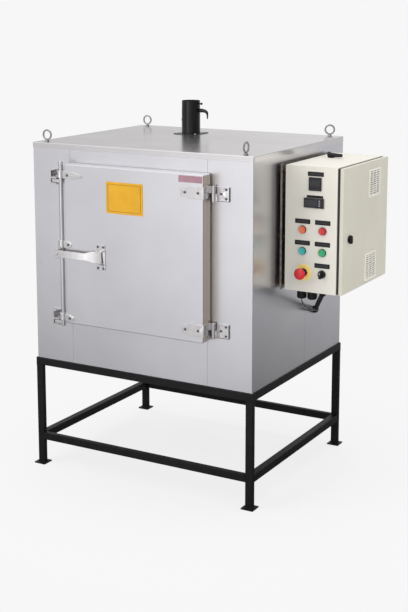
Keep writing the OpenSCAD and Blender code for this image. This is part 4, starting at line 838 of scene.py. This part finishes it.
def lock():
    """Chromed bar with chamfered ends, its cams, and the bent lever with a clamping bolt in its hub."""
    low, high = box("lock_bar")
    radius = 9.0
    x, y = high[0] - radius, (low[1] + high[1]) / 2
    tall = high[2] - low[2]
    chamfer = 1.5
    profile = [(radius - chamfer, 0), (radius, chamfer), (radius, tall - chamfer), (radius - chamfer, tall)]
    piece("lock_rod", turned(profile, (x, y, low[2]), 2, 40), chrome_rod, "lock_bar", sharp=30)
    guide_top, _, guide_low = guide_bottoms()
    cams = [bar((x - 40, y - 8, z), (x - 4, y + 8, z + 12), 2, 5, 1.0)
            for z in (guide_top - 19, guide_low - 16)]
    piece("lock_cams", gather(*cams), zinc_plate, "lock_bar", hides=False)
    softened("lock_lever", zinc_plate, 0.9)
    hub = (x, box("lock_lever")[0][1], middle_of("lock_lever")[2])
    bolt = turned([(5.5, 0), (6, -0.5), (6, -3.5), (5.2, -4.2)], hub, 1, 24, [hexagon] * 4)
    piece("hub_bolt", bolt, zinc_plate, "lock_lever", sharp=50, hides=False)


# Chamber


def chamber():
    """Liner, throat, heaters, rack, guides and probe, which show when the door is open, and the filling."""
    softened("chamber_liner", heated_sheet, 0.4)
    softened("throat_frame", heated_sheet, 0.3)
    softened("rack_guides", heated_sheet, 0.5)
    softened("thermocouple", forged_zinc, 0.5)
    dress("heating_elements", heater_sheath)
    dress("wire_rack", rack_wire)
    dress("wall_insulation", fibre_board)
    dress("door_insulation", fibre_board)


# Control enclosure


def enclosure():
    """Box, door and seal in powder-coated sheet, with what is fixed to them and the devices inside."""
    softened("enclosure_box", powder_coat, 0.7)
    # The door's coat is the box's coat painted a shade darker, as painted shade
    softened("enclosure_door", powder_door_shaded, 0.7)
    softened("enclosure_gasket", cell_rubber, 0.6)
    softened("enclosure_hinges", forged_zinc, 0.4)
    softened("heat_shield", galvanised, 0.5)
    # The spacers' dark brown is painted shade for the gap behind the enclosure
    softened("shield_spacers", gap_shade_sleeve, 0.5)
    softened("mounting_plate", galvanised, 0.4)
    vents()
    latch()
    softened("rail_devices", case_grey, 1.2)


def vents():
    """Louvred vents: a raised frame round slanted blades, crossed by two upright ribs, with a dark mat behind
    that is painted shade for the slots.
    """
    low, high = box("vent_grilles")
    width, height = 106, 104
    rim, blades = 7.0, 11
    pitch = (height - 2 * rim) / blades
    proud = high[0]
    face = proud - 5
    steps = [(0, face), (0.2, proud - 1.2), (1.2, proud), (rim - 1, proud), (rim, proud - 1), (rim, face)]
    # A blade's corners: their place along X, and their height as a share of the pitch
    corners = [(face + 0.6, 0.62), (face + 1.5, 0.7), (proud - 0.2, 0.36), (proud - 0.2, 0.14),
               (proud - 1.0, 0.14)]
    shapes, filters = [], []
    for y, z in ((high[1] - width, high[2] - height), (low[1], low[2])):
        middle = (0, y + width / 2, z + height / 2)
        rows = [stand_up(outline(width - 2 * i, height - 2 * i, 4 - min(i, 3)), x, middle, 0)
                for i, x in steps]
        shapes.append(skin(rows, ring=True))
        for base in z + rim + pitch * np.arange(blades):
            shapes.append(skin([[(x, y + end, base + pitch * up) for x, up in corners]
                                for end in (rim - 0.5, width - rim + 0.5)]))
        for share in (1 / 3, 2 / 3):
            rib_y = y + rim + share * (width - 2 * rim)
            shapes.append(bar((face + 0.5, rib_y - 1.5, z + rim - 0.5),
                              (proud - 0.1, rib_y + 1.5, z + height - rim + 0.5), 2, 0.6, 0.1))
        # Dark mats just behind the blades: painted shade in the slots
        for back, front, inset, corner, edge in ((-12, 0.3, 10, 1, 0.3), (-0.1, 0.9, rim - 1, 0.5, 0.2)):
            filters.append(bar((face + back, y + inset, z + inset),
                               (face + front, y + width - inset, z + height - inset), 0, corner, edge))
    piece("vent_louvres", gather(*shapes), grille_plastic, "vent_grilles", sharp=30)
    piece("vent_filters", gather(*filters), filter_mat_shade, "vent_grilles", hides=False)


def latch():
    """Wing knob of the quarter-turn latch: a lens-shaped grip on a round foot, with its shaft and cam."""
    low, high = box("door_latch")
    foot_r, grip_r = 12.0, 15.8
    face = high[0] - 15
    y, z = high[1] - foot_r, (low[2] + high[2]) / 2
    foot = turned([(foot_r, 0), (foot_r, 2.8), (foot_r - 1.2, 4)], (face, y, z), 0, 48)
    shaft = turned([(8, low[0] + 0.2 - face), (8, 0.2)], (face, y, z), 0, 32)
    along = np.linspace(-1, 1, 25)
    half = 5.2 * np.sqrt(np.clip(1 - np.abs(along) ** 1.7, 0, 1)) + 0.15
    sides = [np.stack([way * half, grip_r * along], -1)[::way] for way in (1, -1)]
    steps = ((1, 2), (1, 11), (0.95, 13.5), (0.8, 15))
    grip = skin([stand_up(np.concatenate(sides) * share, face + out, (0, y, z), 0) for share, out in steps])
    cam = bar((low[0], low[1], z - 8), (low[0] + 4, y + 6, z + 8), 0, 3, 0.5)
    piece("latch_knob", gather(foot, shaft, grip), black_polyamide, "door_latch", sharp=45)
    piece("latch_cam", cam, zinc_plate, "door_latch", hides=False)


# Controls on the enclosure's front


LENSES = {"button_orange": lens_orange, "button_red": lens_red,
          "button_blue": lens_blue, "button_green": lens_green}


def control_places():
    """Centres of the buttons, the stop and the selector on the wall's face, from their CAD nodes."""
    places = {node: middle_of(node) for node in (*LENSES, "stop_head", "selector_knob")}
    for place in places.values():
        place[1] = box("enclosure_box")[0][1]
    places["selector_knob"][2] = places["stop_head"][2]
    return places


def controls():
    """Push-buttons, stop, selector, meters and label plates."""
    places = control_places()
    stop, knob = places["stop_head"], places["selector_knob"]
    radius = 14.75
    thread = [(9.1, 22), (11, 22), (11, 0)]
    flush = [(radius, 0), (radius, -3.4), (radius - 0.2, -4.6), (13.95, -5.0), (13.7, -4.8), (13.65, -1.0),
             (9.2, -1.0), (9.2, 22), (11, 22), (11, 0)]
    flat = [(radius, 0), (radius, -3.0), (radius - 1.2, -4.6), (12.5, -5.0), (9.1, -5.0)] + thread
    collar = [(15.5, 0), (15.5, -8), (13.5, -11), (12.5, -12), (9.1, -12)] + thread
    rings = [turned(flush, places[node], 1, 64) for node in LENSES]
    rings += [turned(flat, knob, 1, 64), turned(collar, stop, 1, 64)]
    blocks = []
    for x, y, z in places.values():
        blocks.append(bar((x - 15, y + 24, z - 20), (x + 15, y + 58, z + 20), 1, 1.5, 1.0))
        blocks.append(turned([(14, 1.5), (14, 7.5), (11.2, 7.5)], (x, y, z), 1, 32, [hexagon, hexagon, None]))
    piece("device_bezels", gather(*rings), black_polyamide, "control_bezels", sharp=30)
    piece("contact_blocks", gather(*blocks), case_dark, "control_bezels", hides=False)
    disc = turned([(15.6, -0.2), (31, -0.2), (31, -1.2), (30.4, -1.7), (15.6, -1.7)], stop, 1, 96)
    piece("stop_disc", disc, disc_yellow, "control_bezels", hides=False)
    for node, lens in LENSES.items():
        push_button(node, lens)
    stop_button(stop)
    selector(knob)
    meters()
    labels()


def push_button(node, lens):
    """Flush button: a lens with a shallow dish and a raised rim, on its stem."""
    low, high = box(node)
    centre = (low + high) / 2 * [1, 0, 1] + low * [0, 1, 0]
    profile = [(0.5, 1.0), (7.0, 0.85), (11.2, 0.45), (12.0, 0.04), (12.8, 0.0), (13.3, 0.4), (13.5, 1.1),
               (13.5, 3.8), (9.0, 3.8), (9.0, high[1] - low[1])]
    piece(node + "_lens", turned(profile, centre, 1, 64), lens, node, sharp=40)


def stop_button(stop):
    """Mushroom head: a domed disc whose rim is scalloped for grip, on its plunger."""
    low, high = box("stop_head")
    front, back = low[1] - stop[1], high[1] - stop[1]
    radius = 21.4

    def grip(angle):
        return 1 - 0.012 * (1 + np.cos(36 * angle))

    neck = [(11.5, back), (14, back - 2), (16, back - 3.4)]
    rim = [(radius - 1, back - 4.6), (radius, back - 6.2), (radius, back - 10), (radius - 0.8, back - 11.8)]
    dome = [(radius - 3, back - 13.6), (radius - 7, back - 15), (radius - 13, front + 0.15), (0.5, front)]
    lobes = [None] * len(neck) + [grip] * len(rim) + [None] * len(dome)
    head = turned(neck + rim + dome, stop, 1, 144, lobes)
    piece("stop_mushroom_head", head, stop_red, "stop_head", sharp=45)
    softened("stop_plunger", black_polyamide, 0.5)


def selector(centre):
    """Rotary selector: a round base with a tapered grip across it, and a white line at its top."""
    low, high = box("selector_knob")
    x, wall, _ = centre
    front, bottom, top = low[1], low[2], high[2]
    mid = (bottom + top) / 2
    width = 9.6
    base = turned([(12.4, -5.4), (12.6, -6), (12.6, -10.6), (11.8, -12)], centre, 1, 64)
    stem = turned([(9, -5.5), (9, 15.8)], centre, 1, 32)
    rows = [stand_up(outline(top - bottom - 2 * inset, width - 1.6 * inset, 3 - inset), y, (x, 0, mid), 1)
            for inset, y in ((0, wall - 11.5), (0, wall - 19), (0.5, wall - 22.5), (1.6, front))]
    piece("selector_grip", gather(base, stem, skin(rows)), black_polyamide, "selector_knob", sharp=40)
    line = bar((x - 0.7, front - 0.1, mid + 2), (x + 0.7, front + 0.6, top - 2), 1, 0.5, 0.05)
    piece("selector_line", line, white_mark, "selector_knob", hides=False)


def meters():
    """Temperature controller and indicator: moulded frames with dark windows, and the keys."""
    softened("temperature_controller", meter_plastic, 0.6)
    softened("indicator_unit", meter_plastic, 0.6)
    for node, name, glass, left, right, down, up in (
            ("temperature_controller", "controller_window", blue_glass, -33, 14, -11, 11),
            ("indicator_unit", "indicator_window", dark_glass, -19, 19, -8, 16)):
        front = box(node)[0][1]
        x, _, z = middle_of(node)
        window = bar((x + left, front + 0.5, z + down), (x + right, front + 0.9, z + up), 1, 1, 0.1)
        piece(name, window, glass, node, hides=False)
    for node in ("key_top", "key_middle", "key_bottom"):
        piece(node + "_cap", bar(*box(node), 1, 1.2, 0.6), key_plastic, node)


def labels():
    """Label plates: black laminate with a milled edge round a bare grey field."""
    softened("label_plates", label_skin, 0.35)
    mesh = frame["nodes"]["label_plates"].data
    front = points_of(mesh)[:, 1].min()
    margin = np.array([5.5, 0, 4.2])
    fields = []
    for low, high in islands(mesh):
        low[1], high[1] = front - 0.12, front + 0.3
        fields.append(bar(low + margin, high - margin, 1, 0.6, 0.05))
    piece("label_fields", gather(*fields), label_field, "label_plates", hides=False)


def islands(mesh):
    """Boxes of the separate solids of a mesh, from the lowest up."""
    solid = bmesh.new()
    solid.from_mesh(mesh)
    bmesh.ops.remove_doubles(solid, verts=solid.verts, dist=2e-6)
    left = set(solid.verts)
    boxes = []
    while left:
        stack = [left.pop()]
        found = list(stack)
        while stack:
            for edge in stack.pop().link_edges:
                for vert in edge.verts:
                    if vert in left:
                        left.remove(vert)
                        stack.append(vert)
                        found.append(vert)
        places = np.array([vert.co for vert in found]) / MM
        boxes.append((places.min(0), places.max(0)))
    solid.free()
    return sorted(boxes, key=lambda pair: (round(pair[0][2]), round(pair[0][0])))


# Glands, conduit and lead


def gland(x, y, top, drop):
    """Cable gland: hexagon body under the sheet, and a ribbed cap nut below it that draws in at its end."""

    def ribs(angle):
        return 1 + 0.02 * np.cos(12 * angle)

    nut = turned([(17.2, -14), (17.8, -15), (17.8, -drop + 5), (17, -drop + 3), (15, -drop)],
                 (x, y, top), 2, 72, [None, ribs, ribs, None, None])
    return gather(gland_hexagon(x, y, top), nut)


def gland_hexagon(x, y, top):
    """A gland's hexagon body under the sheet, and its lock nut above it."""
    body = turned([(18.6, 0), (19, -1), (19, -13), (18.2, -14)], (x, y, top), 2, 48, [hexagon] * 4)
    lock_nut = turned([(15.6, 1.6), (16, 2.2), (16, 6.6), (15.4, 7.4)], (x, y, top), 2, 36, [hexagon] * 4)
    return gather(body, lock_nut)


def elbow(ball, way, reach, radius):
    """Turned fitting: a ball at a corner, and a sleeve from it that is ribbed on its outer part."""
    turn = np.linspace(-math.pi / 2, math.pi / 2, 13)
    ball_r = radius + 1.5
    globe = turned([(ball_r * math.cos(t), ball_r * math.sin(t)) for t in turn], ball, 2, 40)
    along = np.linspace(0, reach, 40)
    sleeve = np.interp(along, [0, reach - 3, reach], [radius, radius, radius - 2])
    groove, pitch = 0.5, 4
    sleeve = sleeve - groove * (np.sin(along * 2 * math.pi / pitch) > 0.3) * (along > reach * 0.45)
    return gather(globe, swept(ball + along[:, None] * way, sleeve, 32))


def cables():
    """Glands under the enclosure and on it, the wall fitting, the ribbed conduit and the probe's lead."""
    low, high = box("enclosure_box")
    under, roof = low[2], high[2]
    wall = CORNER[0] + BODY[0]
    drop = 42.0
    # Glands below stand in a row from the enclosure's left end; the one on top stands further back
    gland_y, conduit_y = low[1] + 70, low[1] + 74
    lead_x, mains_x, conduit_x = low[0] + np.array([38, 80, 122])
    top_x, top_y = low[0] + 58, low[1] + 270
    # The conduit runs straight between two corners, as the photograph shows it
    upper = np.array([conduit_x, conduit_y, under - 14])
    lower = np.array([wall + 8, CORNER[1] + 520, 640])
    way = unit(lower - upper)
    sleeve, overlap = 24, 18
    shapes = [gland(lead_x, gland_y, under, drop), gland(mains_x, gland_y, under, drop),
              gland_hexagon(conduit_x, conduit_y, under),
              elbow(upper, way, sleeve, 12.0), elbow(lower, -way, sleeve, 12.0),
              turned([(14, 0), (14, 7), (13, 8)], (wall, *lower[1:]), 0, 48)]
    shapes.append(turned([(11, 0), (11, 3), (9, 4)], (top_x, top_y, roof), 2, 36))
    shapes.append(turned([(8, -12), (9, -11), (9, 2), (8.4, 4), (8.4, 14), (7.6, 16), (6.2, 44), (5, 46)],
                         (top_x, top_y, roof + 10), 0, 36, [None, None, hexagon, hexagon] + [None] * 4))
    piece("gland_bodies", gather(*shapes), black_polyamide, "cable_glands", sharp=35)

    start, end = upper + overlap * way, lower - overlap * way
    along = np.linspace(0, np.linalg.norm(end - start), 900)
    route = start + along[:, None] * way
    hose_r, rib_h, pitch = 8.2, 0.8, 4.6
    ribbed = hose_r + rib_h * np.clip(np.sin(along * 2 * math.pi / pitch) * 1.6, -1, 1)
    piece("conduit_hose", swept(route, ribbed, 20), conduit_plastic, "conduit", sharp=60)

    # The probe's lead hangs from its gland, turns in a curve and comes back to the probe's head on the wall
    lead_r = 2.0
    probe = np.array([wall + 30, CORNER[1] + 447, box("probe_lead")[0][2] + lead_r])
    start = np.array([lead_x, gland_y, under - drop])
    route = bend_route(start, (*start[:2], 690), (wall + 100, *probe[1:]), probe, 4, 160)
    piece("probe_cable", swept(route, lead_r, 12), grey_pvc, "probe_lead", sharp=60)


def bend_route(start, near_start, near_end, end, straight, count):
    """Route that runs straight out of both ends, with a cubic curve between them."""
    out = 10
    way_out, way_in = unit(near_start - start), unit(end - near_end)
    inner = curve([start + straight * way_out, near_start, near_end, end - straight * way_in],
                  count - 2 * out)
    first = start + np.linspace(0, straight, out, endpoint=False)[:, None] * way_out
    last = end - np.linspace(straight, 0, out + 1)[1:, None] * way_in
    return np.vstack([first, inner, last])


# Studio


BACKDROP = colour("#F7F7F7")


def studio():
    """White floor and world for the camera, a graded surround for reflections in metal, and three lamps."""
    scene = bpy.context.scene
    scene.view_settings.view_transform = "Standard"
    scene.world = surround()
    reach = 60000.0
    mesh = bpy.data.meshes.new("studio_floor")
    corners = np.array([[-1, -1, 0], [1, -1, 0], [1, 1, 0], [-1, 1, 0]]) * reach * MM
    mesh.from_pydata(corners.tolist(), [], [[0, 1, 2, 3]])
    mesh.materials.append(backdrop_paper())
    floor = bpy.data.objects.new("studio_floor", mesh)
    scene.collection.objects.link(floor)
    lamp("key_lamp", (-2600, -3600, 3000), 2600, 95)
    lamp("side_lamp", (3200, -1800, 2400), 2200, 22)
    lamp("top_lamp", (300, 900, 4200), 3000, 42)


def graded(tree, *ramps):
    """Product of straight ramps: each is a measure, where it starts and ends, and its values there."""
    product = 1.0
    for measure, start, end, first, last in ramps:
        ramp = add(tree, "MapRange", {0: measure, 1: start, 2: end, 3: first, 4: last}).outputs[0]
        product = add(tree, "Math", {0: product, 1: ramp}, operation="MULTIPLY").outputs[0]
    return product


def surround():
    """World: even white for the camera. A reflected ray meets one that is bright in front and a little to the
    left, dimmer to the right and behind."""
    world = bpy.data.worlds.new("studio")
    world.use_nodes = True
    tree = world.node_tree
    tree.nodes.clear()
    rays = add(tree, "LightPath").outputs
    sideways, depth, up = add(tree, "SeparateXYZ", {0: add(tree, "TexCoord").outputs["Generated"]}).outputs
    side = graded(tree, (sideways, -0.75, -0.3, 0.66, 1.34), (sideways, -0.2, 0.95, 1.0, 0.22),
                  (depth, 0.2, 0.85, 1.0, 0.66), (up, 0.3, 0.7, 1.0, 1.12))
    side = add(tree, "Math", {0: side, 1: strip_light(tree, sideways, depth)}, operation="ADD").outputs[0]
    fill = add(tree, "Background", {"Color": colour("#F6F5F4"), "Strength": 0.88})
    shine = add(tree, "Background", {"Color": colour("#F7F6F6"), "Strength": side})
    shown = add(tree, "Background", {"Color": BACKDROP, "Strength": 1.0})
    mirrored = add(tree, "MixShader", {0: rays["Is Glossy Ray"], 1: fill.outputs[0], 2: shine.outputs[0]})
    mixed = add(tree, "MixShader", {0: rays["Is Camera Ray"], 1: mirrored.outputs[0], 2: shown.outputs[0]})
    add(tree, "OutputWorld", {"Surface": mixed.outputs[0]})
    return world


def backdrop_paper():
    """Floor: for the camera, the shadow close to the object stays, and fades into an even white further out.
    The metal sees it dim where the object stands, lighter away from it, and dimmer far left and right."""
    paper, tree, shader, place = surface("backdrop_paper", Roughness=0.9, Specular_IOR_Level=0.0)
    shader.inputs["Base Color"].default_value = colour("#EFEFEF")
    far = add(tree, "VectorMath", {0: place}, operation="LENGTH").outputs["Value"]
    across, depth, _ = add(tree, "SeparateXYZ", {0: place}).outputs
    sideways = add(tree, "Math", {0: across, 1: far}, operation="DIVIDE").outputs[0]
    bright = graded(tree, (far, 0.5, 4.2, 0.29, 0.82), (sideways, -0.8, -0.3, 0.6, 1.25),
                    (sideways, -0.1, 0.8, 1.0, 0.34))
    strip = strip_light(tree, sideways, depth, (far, 3.0, 7.0, 0.0, 1.0))
    bright = add(tree, "Math", {0: bright, 1: strip}, operation="ADD").outputs[0]
    rays = add(tree, "LightPath").outputs
    plain = graded(tree, (far, 0.5, 1.3, 0.82, 1.0))
    seen = add(tree, "Math", {0: rays["Is Camera Ray"], 1: plain}, operation="MULTIPLY").outputs[0]
    glow = add(tree, "Emission", {"Color": BACKDROP, "Strength": 1.0})
    mirror = add(tree, "Emission", {"Color": colour("#F7F6F8"), "Strength": bright})
    mixed = add(tree, "MixShader", {0: seen, 1: shader.outputs[0], 2: glow.outputs[0]})
    mixed = add(tree, "MixShader", {0: rays["Is Glossy Ray"], 1: mixed.outputs[0], 2: mirror.outputs[0]})
    tree.links.new(mixed.outputs[0], tree.nodes["Material Output"].inputs["Surface"])
    return paper


def strip_light(tree, sideways, depth, *ramps):
    """Narrow upright light in front of the object, as the metal mirrors it, strongest where sideways is -0.2.
    Further ramps dim it."""
    off = add(tree, "Math", {0: sideways, 1: 0.2}, operation="ADD").outputs[0]
    off = add(tree, "Math", {0: off}, operation="ABSOLUTE").outputs[0]
    return graded(tree, (off, 0.03, 0.1, 1.5, 0.0), (depth, -0.4, -0.1, 1.0, 0.0), *ramps)


def lamp(name, place, size, power):
    """Square soft box that faces the middle of the object."""
    data = bpy.data.lights.new(name, "AREA")
    data.shape = "SQUARE"
    data.size = size * MM
    data.energy = power
    thing = bpy.data.objects.new(name, data)
    thing.location = Vector(np.array(place, float) * MM)
    # The lamps light the object but don't show as squares in its metal
    thing.visible_glossy = False
    aim = Vector((0, 0, 0.8)) - thing.location
    thing.rotation_euler = aim.to_track_quat("-Z", "Y").to_euler()
    bpy.context.scene.collection.objects.link(thing)


stand()
casing()
lifting_eyes()
chimney()
damper()
oven_door()
hinges()
lock()
chamber()
enclosure()
controls()
cables()
studio()
